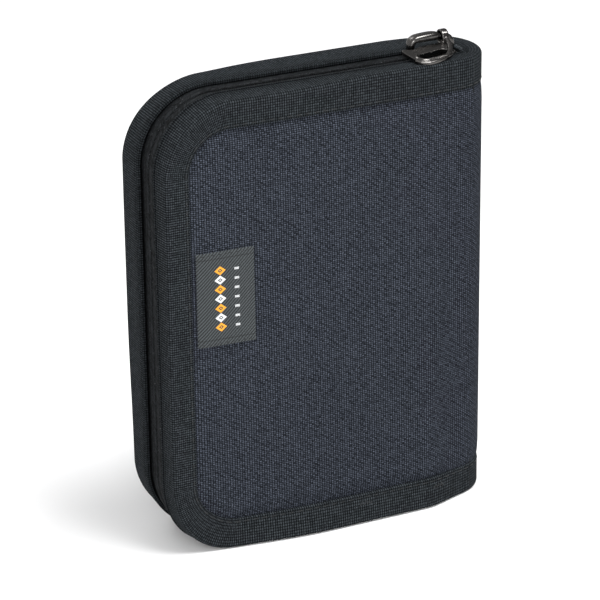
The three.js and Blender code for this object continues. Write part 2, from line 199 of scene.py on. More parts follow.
def squared(value, power):
    """A cosine or sine drawn out towards -1 and 1, which turns a round section into an oblong one."""
    return np.sign(value) * np.abs(value) ** power


def ease(x, start, end):
    """From 0 before start to 1 after end, with a soft beginning and a soft end."""
    share = np.clip((x - start) / (end - start), 0, 1)
    return share * share * (3 - 2 * share)


def hump(value, middle, width):
    """1 at the middle, falling away softly over a width."""
    return np.exp(-(((value - middle) / width) ** 2))


def lengths(points):
    """Distance along a line of points."""
    steps = np.linalg.norm(np.diff(points, axis=0), axis=1)
    return np.concatenate([[0], np.cumsum(steps)])


# ---------------------------------------------------------------- places on the covers and the spine


def sizes():
    return bpy.context.scene.wallet_sizes


def colours():
    return bpy.context.scene.wallet_colours


def bend_start():
    return SPINE_OUT - sizes().spine_depth


def half_thickness(x):
    """Half the wallet's thickness at x: level, then an ellipse into the spine."""
    along = np.clip((np.asarray(x) - bend_start()) / sizes().spine_depth, 0, 1)
    return HALF * np.sqrt(1 - along**2)


def rim_lengths():
    """Lengths of the straight end, of a corner and of the zip side, along the edge."""
    radius = sizes().corner_radius
    return FOLD - ZIP_SIDE - radius, radius * math.pi / 2, HEIGHT - 2 * radius


def rim_total():
    straight, corner, side = rim_lengths()
    return 2 * straight + 2 * corner + side


def corner_shares(s):
    """How far round each of the two corners the places along the edge are, from 0 to 1."""
    straight, corner, side = rim_lengths()
    return np.clip((s - straight) / corner, 0, 1), np.clip((s - straight - corner - side) / corner, 0, 1)


def front_step(s):
    """How far the front cover stands back from the back one at places along the edge."""
    first, second = corner_shares(s)
    step = sizes().front_step * ease(first, 0.35, 1) * (1 - ease(second, 0.2, 1))
    return step - sizes().corner_fill * np.sin(math.pi * first**0.65) ** 2


def rim(s, inset):
    """Points (x, z) round the three open sides, from the fold at the bottom to the fold at the top."""
    straight, corner, side = rim_lengths()
    radius = sizes().corner_radius
    corner_x = ZIP_SIDE + radius
    top = HEIGHT - radius
    s, inset = np.broadcast_arrays(s, inset)
    turn_1, turn_2 = corner_shares(s)
    angle = -math.pi / 2 * (1 + turn_1 + turn_2)
    middle_x = corner_x + np.maximum(straight - s, 0) + np.maximum(s - straight - 2 * corner - side, 0)
    middle_z = radius + np.clip(s - straight - corner, 0, side)
    reach = radius - inset
    return middle_x + reach * np.cos(angle), np.minimum(middle_z, top) + reach * np.sin(angle)


def swell(x, z, side):
    """How far the padding pushes a cover's face out: fuller low in front and high behind, from use."""
    along = ease(x, ZIP_SIDE + 4 * MM, -4 * MM) * (1 - ease(x, 31 * MM, FOLD))
    share = np.clip(z / HEIGHT, 0, 1)
    if side == FRONT:
        foot = 1 - ease(z, 0, 14 * MM)
        return sizes().puff * along * (1.15 - share + 0.45 * foot)
    full = along * (0.45 + 0.55 * share)
    zip_side = 0.6 * (1 - ease(x, ZIP_SIDE, ZIP_SIDE + 34 * MM)) * ease(share, 0.15, 0.5)
    pinched = 0.75 * hump(x, ZIP_SIDE + 17 * MM, 15 * MM) * hump(z, HEIGHT, 26 * MM)
    return sizes().puff * (0.75 * full + zip_side - pinched)


def cover_place(x, z, depth, side):
    """Points on a cover. The swelling is full at the face and dies out towards the lining."""
    share = np.clip(1 - depth / (5.4 * MM), 0, 1)
    y = side * (half_thickness(x) - depth + swell(x, z, side) * share)
    return together(x, y, z)


def on_cover(side, s, inset, depth):
    """Points on a cover from places along its edge, insets and depths."""
    x, z = rim(s, inset)
    return cover_place(x, z, depth, side)


def on_spine(t, depth, z):
    """Points on the spine. t is -1 at the front fold line and 1 at the back one."""
    t, depth, z = np.broadcast_arrays(t, depth, z)
    depth_share = (FOLD - bend_start()) / sizes().spine_depth
    angle = t * math.acos(depth_share)
    lean = t * math.pi / 2
    x = bend_start() + sizes().spine_depth * np.cos(angle) - depth * np.cos(lean)
    y = HALF * np.sin(angle) - depth * np.sin(lean)
    return np.stack([x, y, z], -1)


def spine_arc(t):
    """Distance along the spine from its middle, close enough for laying cloth."""
    return np.asarray(t) * SPINE_ARC


def edge_distance(x, z):
    """Distance in from a cover's edge, not counting the fold."""
    radius = sizes().corner_radius
    corner_x = ZIP_SIDE + radius
    low = np.minimum(z, HEIGHT - z)
    in_corner = (x < corner_x) & (low < radius)
    corner = radius - np.hypot(np.minimum(x - corner_x, 0), np.minimum(low - radius, 0))
    return np.where(in_corner, corner, np.minimum(x - ZIP_SIDE, low))


def cloth_depth(x, z, side):
    """Depth of the outer cloth: sunk under the edge tape, then puffed by the foam behind it."""
    s = sizes()
    reach = (5 - 3.4 * ease(x, 15 * MM, FOLD)) * MM
    rise = ease(edge_distance(x, z), s.binding_width - 1.4 * MM, s.binding_width + reach)
    depth = s.cloth_sunk + (s.cloth_crown - s.cloth_sunk) * rise
    calm = 1 - ease(x, FOLD - 18 * MM, FOLD - 4 * MM)
    phase = 1.3 * side
    slack = np.sin(x / (17 * MM) + z / (41 * MM) + phase) * np.sin(z / (23 * MM) - x / (60 * MM) + phase)
    pucker = np.sin(z / (4.6 * MM) + 2 * np.sin(z / (31 * MM))) * np.sin(x / (5.3 * MM) + z / (70 * MM))
    near_seam = rise * (1 - rise) * 4
    return depth + calm * rise * 0.10 * MM * slack + calm * near_seam * 0.05 * MM * pucker


def depth_at_fold(z, side=FRONT):
    """Depth of the outer cloth along a fold line, which the spine's cloth keeps all the way across."""
    return cloth_depth(np.full_like(z, FOLD), z, side)


def cover_columns(inset, end):
    """x of the mesh columns across a cover, closer together in the corners and in the bend."""
    s = sizes()
    corner_x = ZIP_SIDE + s.corner_radius
    radius = s.corner_radius - inset
    turns = np.linspace(0, math.pi / 2, 22)
    corner = corner_x - radius * np.cos(turns)
    bend = bend_start() - 3 * MM
    middle = np.linspace(corner_x, bend, round((bend - corner_x) / s.mesh_step) + 1)[1:]
    last = np.linspace(bend, end, 12)[1:]
    return np.concatenate([corner, middle, last])


def cover_points(inset, end, rows):
    """Grid of (x, z) over a cover's outline."""
    s = sizes()
    corner_x = ZIP_SIDE + s.corner_radius
    radius = s.corner_radius - inset
    x = cover_columns(inset, end)
    beyond = np.clip(corner_x - x, 0, radius)
    low = s.corner_radius - np.sqrt(np.maximum(radius**2 - beyond**2, 0))
    share = np.linspace(0, 1, rows)[None, :]
    z = low[:, None] + (HEIGHT - 2 * low[:, None]) * share
    return np.broadcast_to(x[:, None], z.shape), z


# ---------------------------------------------------------------- making meshes


class Draft:
    """Points, faces and cloth coordinates of a piece while it is being made."""

    def __init__(self):
        self.points = []
        self.cloth = []
        self.faces = []
        self.count = 0

    def add(self, points, cloth=None):
        points = np.asarray(points, float)
        cloth = np.zeros(points.shape[:-1] + (2,)) if cloth is None else np.asarray(cloth, float)
        index = self.count + np.arange(points[..., 0].size).reshape(points.shape[:-1])
        self.points.append(points.reshape(-1, 3))
        self.cloth.append(cloth.reshape(-1, 2))
        self.count += points[..., 0].size
        return index

    def join(self, index, wrap=False, close=False):
        """Faces between neighbouring points. wrap joins a row's ends, close the last row to the first."""
        if wrap:
            index = np.concatenate([index, index[:, :1]], 1)
        if close:
            index = np.concatenate([index, index[:1]], 0)
        quads = np.stack([index[:-1, :-1], index[:-1, 1:], index[1:, 1:], index[1:, :-1]], -1)
        self.faces += quads.reshape(-1, 4).tolist()

    def grid(self, points, cloth=None, wrap=False, close=False):
        index = self.add(points, cloth)
        self.join(index, wrap, close)
        return index

    def face(self, loop):
        self.faces.append([int(i) for i in loop])

    def tube(self, points, cloth=None):
        """Rows of closed sections, with both ends filled."""
        index = self.grid(points, cloth, wrap=True)
        self.face(index[0][::-1])
        self.face(index[-1])
        return index

    def copies(self, shape, faces, places, along, across, up):
        """The same small shape at many places, each with its own three directions."""
        shape = np.asarray(shape, float)
        points = (places[:, None, :] + shape[None, :, 0, None] * along[:, None, :]
                  + shape[None, :, 1, None] * across[:, None, :] + shape[None, :, 2, None] * up[:, None, :])
        cloth = np.broadcast_to(shape[None, :, :2] / MM, points.shape[:2] + (2,))
        index = self.add(points, cloth)
        for row in index:
            self.faces += [[int(row[i]) for i in face] for face in faces]


def piece(name, draft, material, body, nodes=(), crease=None, scale=1.0):
    """Turns a draft into a piece that rides on a body and stands for the CAD nodes named."""
    mesh = bpy.data.meshes.new(name)
    points = np.concatenate(draft.points) * scale
    mesh.from_pydata(points.tolist(), [], draft.faces)
    held = mesh.attributes.new("cloth", "FLOAT_VECTOR", "POINT")
    cloth = np.concatenate(draft.cloth)
    held.data.foreach_set("vector", np.c_[cloth, np.zeros(len(cloth))].astype(np.float32).ravel())
    work = bmesh.new()
    work.from_mesh(mesh)
    bmesh.ops.recalc_face_normals(work, faces=work.faces)
    work.to_mesh(mesh)
    work.free()
    mesh.shade_smooth()
    if crease is not None:
        mesh.set_sharp_from_angle(angle=math.radians(crease))
    made = bpy.data.objects.new(name, mesh)
    bpy.context.scene.collection.objects.link(made)
    mesh.materials.append(material)
    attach(made, body)
    if nodes:
        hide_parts(*nodes)
    return made


def finish_modifiers(made):
    """Applies a piece's modifiers, so that the final mesh is what rides on its body."""
    graph = bpy.context.evaluated_depsgraph_get()
    final = bpy.data.meshes.new_from_object(made.evaluated_get(graph), depsgraph=graph)
    made.modifiers.clear()
    made.data = final
    return made


def flatten_when_open(made):
    """Gives a spine piece its own copy of its mesh."""
    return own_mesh(made)


def border(index):
    """The points round a grid, in order."""
    return np.concatenate([index[:-1, 0], index[-1, :-1], index[:0:-1, -1], index[0, :0:-1]])


def rolled(layer):
    """A sheet with a rounded edge. layer gives the points and the cloth of the outline pulled in by a share
    of the edge's roll, at a share of the way from the top to the bottom."""
    draft = Draft()
    upper = draft.grid(*layer(1, 0))
    lower = draft.grid(*layer(1, 1))
    rings = [border(upper)]
    for degrees in (60, 30, 0, -30, -60):
        turn = math.radians(degrees)
        points, cloth = layer(1 - math.cos(turn), (1 - math.sin(turn)) / 2)
        loop = border(np.arange(points.shape[0] * points.shape[1]).reshape(points.shape[:2]))
        rings.append(draft.add(points.reshape(-1, 3)[loop], cloth.reshape(-1, 2)[loop]))
    rings.append(border(lower))
    draft.join(np.stack(rings), wrap=True)
    return draft


def cover_slab(side, inset, end, top, bottom, roll, end_roll=0.0, rows=None):
    """A sheet or pad over one cover. top and bottom give its depths, roll rounds its edge."""
    rows = rows or round(HEIGHT / sizes().mesh_step)

    def layer(pulled, share):
        x, z = cover_points(inset + pulled * roll, end - pulled * end_roll, rows)
        depth = top(x, z) * (1 - share) + bottom(x, z) * share
        return cover_place(x, z, depth, side), np.stack([x, z], -1) / MM

    return rolled(layer)


def spine_slab(inset, top, bottom, roll, tuck=0.0):
    """A sheet or pad over the spine. top and bottom give its depths by height."""
    rows = round(HEIGHT / sizes().mesh_step)
    t = np.linspace(-1 + tuck, 1 - tuck, 29)

    def layer(pulled, share):
        z = np.linspace(inset + pulled * roll, HEIGHT - inset - pulled * roll, rows)
        depth = top(z) * (1 - share) + bottom(z) * share
        inside = ease(np.minimum(z, HEIGHT - z), sizes().binding_width, sizes().binding_width + 6 * MM)
        depth = depth[None, :] - 0.30 * MM * (1 - t[:, None] ** 2) * inside[None, :]
        points = on_spine(t[:, None], depth, z[None, :])
        across = FOLD + SPINE_ARC * (t[:, None] + 1)
        return points, together(across, z[None, :]) / MM

    return rolled(layer)


def band(centre, thickness):
    """A closed section of even thickness round a line of points (a, b), with round ends."""
    centre = np.asarray(centre, float)
    along = unit(np.gradient(centre, axis=0))
    normal = np.stack([-along[:, 1], along[:, 0]], -1)
    half = thickness / 2
    last = centre[-1] + along[-1] * half * 0.9
    first = centre[0] - along[0] * half * 0.9
    return np.concatenate([centre + normal * half, [last], (centre - normal * half)[::-1], [first]])


def section_cloth(section, along):
    """Cloth coordinates of a tube: round its closed section, and along it at the places given."""
    across = lengths(np.r_[section, section[:1]])[:-1] / MM
    return together(across[None, :], along[:, None] / MM)


def soften(points, times=1):
    """Rounds an open line of points off by cutting its corners."""
    points = np.asarray(points, float)
    for _ in range(times):
        a = points[:-1] * 0.75 + points[1:] * 0.25
        b = points[:-1] * 0.25 + points[1:] * 0.75
        inner = np.stack([a, b], 1).reshape(-1, points.shape[1])
        points = np.concatenate([points[:1], inner, points[-1:]])
    return points


# ---------------------------------------------------------------- shader nodes


class Graph:
    """Short ways to add nodes to a node tree."""

    def __init__(self, tree):
        self.tree = tree

    def node(self, kind, **values):
        made = self.tree.nodes.new(kind)
        for name, value in values.items():
            setattr(made, name, value)
        return made

    def feed(self, socket, value):
        if isinstance(value, bpy.types.NodeSocket):
            self.tree.links.new(value, socket)
        else:
            socket.default_value = value

    def maths(self, operation, *values):
        made = self.node("ShaderNodeMath", operation=operation)
        for socket, value in zip(made.inputs, values):
            self.feed(socket, value)
        return made.outputs[0]

    def between(self, value, low, high, to_low=0.0, to_high=1.0):
        made = self.node("ShaderNodeMapRange", interpolation_type="SMOOTHSTEP")
        for socket, given in zip(made.inputs, (value, low, high, to_low, to_high)):
            self.feed(socket, given)
        return made.outputs[0]

    def mix(self, share, a, b):
        made = self.node("ShaderNodeMix", data_type="FLOAT")
        self.feed(made.inputs[0], share)
        self.feed(made.inputs[2], a)
        self.feed(made.inputs[3], b)
        return made.outputs[0]

    def tint(self, share, a, b, blend="MIX"):
        made = self.node("ShaderNodeMix", data_type="RGBA", blend_type=blend)
        self.feed(made.inputs[0], share)
        self.feed(made.inputs[6], a)
        self.feed(made.inputs[7], b)
        return made.outputs[2]

    def shaded(self, colour, shade):
        """A colour made lighter or darker all over by one number."""
        grey = self.node("ShaderNodeCombineColor")
        for socket in grey.inputs:
            self.feed(socket, shade)
        return self.tint(1.0, colour, grey.outputs[0], "MULTIPLY")

    def parts(self, vector):
        """The first two numbers of a vector."""
        split = self.node("ShaderNodeSeparateXYZ")
        self.feed(split.inputs[0], vector)
        return split.outputs[0], split.outputs[1]

    def noise(self, vector, scale, detail=2.0, roughness=0.5):
        made = self.node("ShaderNodeTexNoise")
        self.feed(made.inputs["Vector"], vector)
        self.feed(made.inputs["Scale"], scale)
        self.feed(made.inputs["Detail"], detail)
        self.feed(made.inputs["Roughness"], roughness)
        return made.outputs["Fac"]

    def random(self, x, y=0.0, z=0.0):
        joined = self.node("ShaderNodeCombineXYZ")
        for socket, value in zip(joined.inputs, (x, y, z)):
            self.feed(socket, value)
        made = self.node("ShaderNodeTexWhiteNoise", noise_dimensions="3D")
        self.feed(made.inputs["Vector"], joined.outputs[0])
        return made.outputs["Value"]

    def wave(self, value):
        """A row of round humps, one for each whole step of the value."""
        return self.maths("ABSOLUTE", self.maths("SINE", self.maths("MULTIPLY", value, math.pi)))

    def parity(self, *values):
        """0 in even steps and 1 in odd ones."""
        total = self.maths("FLOOR", values[0])
        for value in values[1:]:
            total = self.maths("ADD", total, self.maths("FLOOR", value))
        return self.maths("MULTIPLY", self.maths("FRACT", self.maths("MULTIPLY", total, 0.5)), 2.0)


def new_group(name, inputs, outputs):
    """A node group with named sockets, its graph, its inputs and its outputs."""
    tree = bpy.data.node_groups.new(name, "ShaderNodeTree")
    for label, kind, default in inputs:
        socket = tree.interface.new_socket(label, in_out="INPUT", socket_type=kind)
        if default is not None:
            socket.default_value = default
    for label, kind in outputs:
        tree.interface.new_socket(label, in_out="OUTPUT", socket_type=kind)
    graph = Graph(tree)
    return graph, graph.node("NodeGroupInput").outputs, graph.node("NodeGroupOutput").inputs


VECTOR = "NodeSocketVector"
NUMBER = "NodeSocketFloat"


def weave_group():
    """Threads over and under each other. Ribs at 1 makes the level threads hide the upright ones."""
    graph, given, out = new_group(
        "Plain weave",
        [("Cloth", VECTOR, None), ("Warp Pitch", NUMBER, 0.8), ("Weft Pitch", NUMBER, 0.6),
         ("Ribs", NUMBER, 0.0), ("Unevenness", NUMBER, 0.3), ("Twill", NUMBER, 0.0)],
        [("Height", NUMBER), ("Tone", NUMBER)])
    wander = graph.noise(given["Cloth"], 0.35, 1.0)
    wander = graph.maths("MULTIPLY", graph.maths("SUBTRACT", wander, 0.5), given["Unevenness"])
    x, y = graph.parts(given["Cloth"])
    u = graph.maths("ADD", graph.maths("DIVIDE", x, given["Warp Pitch"]), wander)
    v = graph.maths("ADD", graph.maths("DIVIDE", y, given["Weft Pitch"]), wander)
    odd = graph.parity(u, v)
    hump_u = graph.wave(u)
    hump_v = graph.wave(v)
    warp = graph.maths("MULTIPLY", hump_u, graph.maths("MULTIPLY_ADD", hump_v, 0.5, 0.5))
    weft = graph.maths("MULTIPLY", hump_v, graph.maths("MULTIPLY_ADD", hump_u, 0.5, 0.5))
    plain = graph.mix(odd, warp, weft)
    ribbed = graph.maths("MULTIPLY", hump_v, graph.maths("MULTIPLY_ADD", hump_u, 0.3, 0.7))
    graph.feed(out["Height"], graph.mix(given["Ribs"], plain, ribbed))
    whole_u = graph.maths("FLOOR", u)
    whole_v = graph.maths("FLOOR", v)
    thread = graph.mix(odd, graph.random(whole_u, 7.0), graph.random(3.0, whole_v))
    cell = graph.random(whole_u, whole_v, 5.0)
    slant = graph.maths("FRACT", graph.maths("DIVIDE", graph.maths("ADD", whole_u, whole_v), 3.0))
    slant = graph.maths("GREATER_THAN", slant, 0.2)
    graph.feed(out["Tone"], graph.mix(given["Twill"], graph.mix(0.85, thread, cell), slant))
    return graph.tree


def herringbone_group():
    """Slanting ridges that turn back at each stripe."""
    graph, given, out = new_group(
        "Herringbone",
        [("Cloth", VECTOR, None), ("Stripe Width", NUMBER, 1.6), ("Ridge Pitch", NUMBER, 0.55)],
        [("Height", NUMBER), ("Tone", NUMBER)])
    x, y = graph.parts(given["Cloth"])
    u = graph.maths("DIVIDE", x, given["Stripe Width"])
    slant = graph.maths("PINGPONG", u, 1.0)
    v = graph.maths("DIVIDE", y, given["Ridge Pitch"])
    ridge = graph.maths("MULTIPLY_ADD", slant, 2.2, v)
    furrow = graph.maths("POWER", graph.wave(u), 0.25)
    graph.feed(out["Height"], graph.maths("MULTIPLY", graph.wave(ridge), furrow))
    graph.feed(out["Tone"], graph.random(graph.maths("FLOOR", u), graph.maths("FLOOR", ridge)))
    return graph.tree


def dye_lint_and_recess_shade_group():
    """Uneven dye, handling marks, a little lint and painted shade on the covers near the zip's recess, from
    places on the wallet in metres.
    """
    graph, given, out = new_group(
        "Dye, lint and painted recess shade",
        [("Place", VECTOR, None), ("Fade", NUMBER, 0.15), ("Lint", NUMBER, 0.3), ("Painted Recess Shade", NUMBER, 0.0)],
        [("Shade", NUMBER), ("Lint", NUMBER)])
    broad = graph.noise(given["Place"], 28.0, 3.0, 0.55)
    fine = graph.noise(given["Place"], 260.0, 2.0)
    both = graph.maths("ADD", graph.maths("SUBTRACT", broad, 0.5),
                       graph.maths("MULTIPLY_ADD", fine, 0.5, -0.25))
    x, y = graph.parts(given["Place"])
    # Painted shade: on the covers the cloth gets darker towards the zip's middle, where the recess lies in
    # shade
    off = graph.maths("ABSOLUTE", graph.maths("SUBTRACT", y, ZIP_MIDDLE))
    near = graph.maths("SUBTRACT", 1.0, graph.between(off, 4.5 * MM, 9.5 * MM))
    near = graph.maths("MULTIPLY", near, graph.maths("LESS_THAN", x, FOLD))
    deep = graph.maths("SUBTRACT", 1.0, graph.maths("MULTIPLY", near, given["Painted Recess Shade"]))
    faded = graph.maths("MULTIPLY_ADD", both, given["Fade"], 1.0)
    # Shade is the uneven dye times the painted recess shade
    graph.feed(out["Shade"], graph.maths("MULTIPLY", faded, deep))
    specks = graph.between(graph.noise(given["Place"], 1900.0, 1.0), 0.70, 0.76)
    graph.feed(out["Lint"], graph.maths("MULTIPLY", specks, given["Lint"]))
    return graph.tree


def scuff_group():
    """Smudges and hair scratches on polished or moulded pieces."""
    graph, given, out = new_group(
        "Smudges and scratches",
        [("Place", VECTOR, None), ("Scratches", NUMBER, 0.5)],
        [("Smudge", NUMBER), ("Height", NUMBER)])
    graph.feed(out["Smudge"], graph.noise(given["Place"], 420.0, 4.0, 0.6))
    stretch = graph.node("ShaderNodeMapping")
    graph.feed(stretch.inputs["Vector"], given["Place"])
    stretch.inputs["Rotation"].default_value = (0.3, 0.2, 0.7)
    stretch.inputs["Scale"].default_value = (300.0, 5200.0, 5200.0)
    line = graph.noise(stretch.outputs[0], 1.0, 1.0)
    hair = graph.between(line, 0.66, 0.72)
    graph.feed(out["Height"], graph.maths("MULTIPLY", hair, given["Scratches"]))
    return graph.tree


def group_node(graph, name, build, values):
    """A copy of a shared group with its inputs fed. The group is built the first time it is asked for."""
    tree = bpy.data.node_groups.get(name) or build()
    made = graph.node("ShaderNodeGroup")
    made.node_tree = tree
    for label, value in values.items():
        graph.feed(made.inputs[label], value)
    return made.outputs


def new_material(name, roughness, metallic=0.0, specular=0.5, sheen=0.0):
    """A Principled material, its graph and its shader, with the sockets that hold one value each."""
    material = bpy.data.materials.new(name)
    material.use_nodes = True
    graph = Graph(material.node_tree)
    shader = material.node_tree.nodes["Principled BSDF"]
    shader.inputs["Roughness"].default_value = roughness
    shader.inputs["Metallic"].default_value = metallic
    shader.inputs["Specular IOR Level"].default_value = specular
    shader.inputs["Sheen Weight"].default_value = sheen
    return material, graph, shader


def scaled(colour, factor):
    return (*[min(1.0, channel * factor) for channel in colour], 1.0)


def bump(graph, shader, height, distance, strength=1.0):
    made = graph.node("ShaderNodeBump")
    made.inputs["Strength"].default_value = strength
    made.inputs["Distance"].default_value = distance
    graph.feed(made.inputs["Height"], height)
    graph.feed(shader.inputs["Normal"], made.outputs[0])


def dyed(graph, shader, colour, weave, contrast, lint=0.25, painted_recess_shade=0.0, variety=1.3):
    """Base colour of a cloth: painted shade between the threads and painted light on their tops, with
    random thread tone, uneven dye, lint and, where asked, painted shade near the zip's recess.
    """
    dye_lint_and_shade = group_node(graph, "Dye, lint and painted recess shade", dye_lint_and_recess_shade_group, {
        "Place": graph.node("ShaderNodeTexCoord").outputs["Object"],
        "Fade": 0.16, "Lint": lint, "Painted Recess Shade": painted_recess_shade})
    tone = graph.maths("MULTIPLY_ADD", weave["Tone"], variety, 0.8 - variety / 2)
    # Painted shade between the threads and painted light on their tops, times each thread's random tone
    painted_thread_shade = graph.maths("MULTIPLY", graph.maths("POWER", weave["Height"], 1.6), tone)
    shade = graph.maths("MULTIPLY", graph.maths("MULTIPLY_ADD", painted_thread_shade, contrast * 2.9, 1 - contrast * 0.8),
                        dye_lint_and_shade["Shade"])
    dusty = graph.tint(dye_lint_and_shade["Lint"], graph.shaded(scaled(colour, 1.0), shade), (0.30, 0.31, 0.33, 1.0))
    graph.feed(shader.inputs["Base Color"], dusty)


def cloth_coordinates(graph):
    return graph.node("ShaderNodeAttribute", attribute_name="cloth").outputs["Vector"]


def woven(name, colour, warp, weft, relief, contrast, ribs=0.0, roughness=0.8, sheen=0.0, specular=0.03,
          unevenness=0.3, twill=0.0, painted_recess_shade=0.0, variety=1.3):
    """A woven cloth or tape."""
    held = bpy.data.materials.get(name)
    if held:
        return held
    material, graph, shader = new_material(name, roughness, specular=specular, sheen=sheen)
    weave = group_node(graph, "Plain weave", weave_group, {
        "Cloth": cloth_coordinates(graph), "Warp Pitch": warp, "Weft Pitch": weft,
        "Ribs": ribs, "Unevenness": unevenness, "Twill": twill})
    dyed(graph, shader, colour, weave, contrast, 0.12, painted_recess_shade, variety)
    graph.feed(shader.inputs["Roughness"],
               graph.mix(weave["Height"], min(1.0, roughness + 0.12), roughness - 0.08))
    bump(graph, shader, weave["Height"], relief)
    return material


def outer_cloth():
    c = colours()
    return woven("outer_cloth", c.cloth, c.warp_pitch, c.weft_pitch, 0.26 * MM, 1.05,
                 twill=0.3, variety=1.1)


def edge_tape():
    # The recess value paints shade on the tape, darker where its walls meet the zip's recess
    return woven("edge_tape", colours().binding, 0.95, 0.78, 0.26 * MM, 1.15, ribs=0.35, unevenness=0.15,
                 painted_recess_shade=0.42, variety=0.6)


def lining_nylon():
    return woven("lining_nylon", colours().lining, 0.42, 0.42, 0.07 * MM, 0.7, roughness=0.62, sheen=0.03,
                 specular=0.14)


def thread(name, lightness):
    """Twisted sewing thread, some way lighter than the edge tape."""
    held = bpy.data.materials.get(name)
    if held:
        return held
    material, graph, shader = new_material(name, 0.6, specular=0.25, sheen=0.1)
    twist = group_node(graph, "Herringbone", herringbone_group, {
        "Cloth": cloth_coordinates(graph), "Stripe Width": 5.0, "Ridge Pitch": 0.22})
    dyed(graph, shader, scaled(colours().binding, lightness)[:3], twist, 0.8)
    bump(graph, shader, twist["Height"], 0.06 * MM)
    return material


def sewing_thread():
    return thread("sewing_thread", 1.05)


def zip_cloth():
    """Herringbone tape of the zip."""
    held = bpy.data.materials.get("zip_cloth")
    if held:
        return held
    material, graph, shader = new_material("zip_cloth", 0.85, specular=0.08)
    twill = group_node(graph, "Herringbone", herringbone_group, {
        "Cloth": cloth_coordinates(graph), "Stripe Width": 1.3, "Ridge Pitch": 0.5})
    dyed(graph, shader, colours().zip_tape, twill, 0.9)
    bump(graph, shader, twill["Height"], 0.10 * MM)
    return material


def moulded(name, colour, roughness, grain, relief, specular=0.5):
    """Moulded or extruded plastic and foam with a fine grain."""
    held = bpy.data.materials.get(name)
    if held:
        return held
    material, graph, shader = new_material(name, roughness, specular=specular)
    place = graph.node("ShaderNodeTexCoord").outputs["Object"]
    scuff = group_node(graph, "Smudges and scratches", scuff_group, {"Place": place})
    cells = graph.node("ShaderNodeTexVoronoi")
    graph.feed(cells.inputs["Vector"], place)
    cells.inputs["Scale"].default_value = grain
    cell = cells.outputs["Distance"]
    shade = graph.mix(cell, 0.75, 1.25)
    shade = graph.maths("MULTIPLY", shade, graph.mix(scuff["Smudge"], 0.85, 1.15))
    graph.feed(shader.inputs["Base Color"], graph.shaded(scaled(colour, 1.0), shade))
    graph.feed(shader.inputs["Roughness"],
               graph.mix(scuff["Smudge"], max(0.05, roughness - 0.1), min(1.0, roughness + 0.1)))
    bump(graph, shader, cell, relief)
    return material


def black_nickel():
    """Polished, plated zinc: dark, glossy, worn bright along its edges."""
    held = bpy.data.materials.get("black_nickel")
    if held:
        return held
    colour = colours().metal
    material, graph, shader = new_material("black_nickel", 0.2, metallic=1.0)
    place = graph.node("ShaderNodeTexCoord").outputs["Object"]
    scuff = group_node(graph, "Smudges and scratches", scuff_group, {"Place": place})
    edge = graph.between(graph.node("ShaderNodeNewGeometry").outputs["Pointiness"], 0.52, 0.60)
    rubbed = graph.maths("MULTIPLY", edge, graph.between(scuff["Smudge"], 0.35, 0.6))
    worn = graph.tint(rubbed, scaled(colour, 1.0), scaled(colour, 2.6))
    smudged = graph.tint(graph.between(scuff["Smudge"], 0.3, 0.7, 0.0, 0.35), worn, scaled(colour, 0.6))
    graph.feed(shader.inputs["Base Color"], smudged)
    graph.feed(shader.inputs["Roughness"], graph.between(scuff["Smudge"], 0.3, 0.7, 0.16, 0.30))
    bump(graph, shader, scuff["Height"], 0.01 * MM, 0.4)
    return material


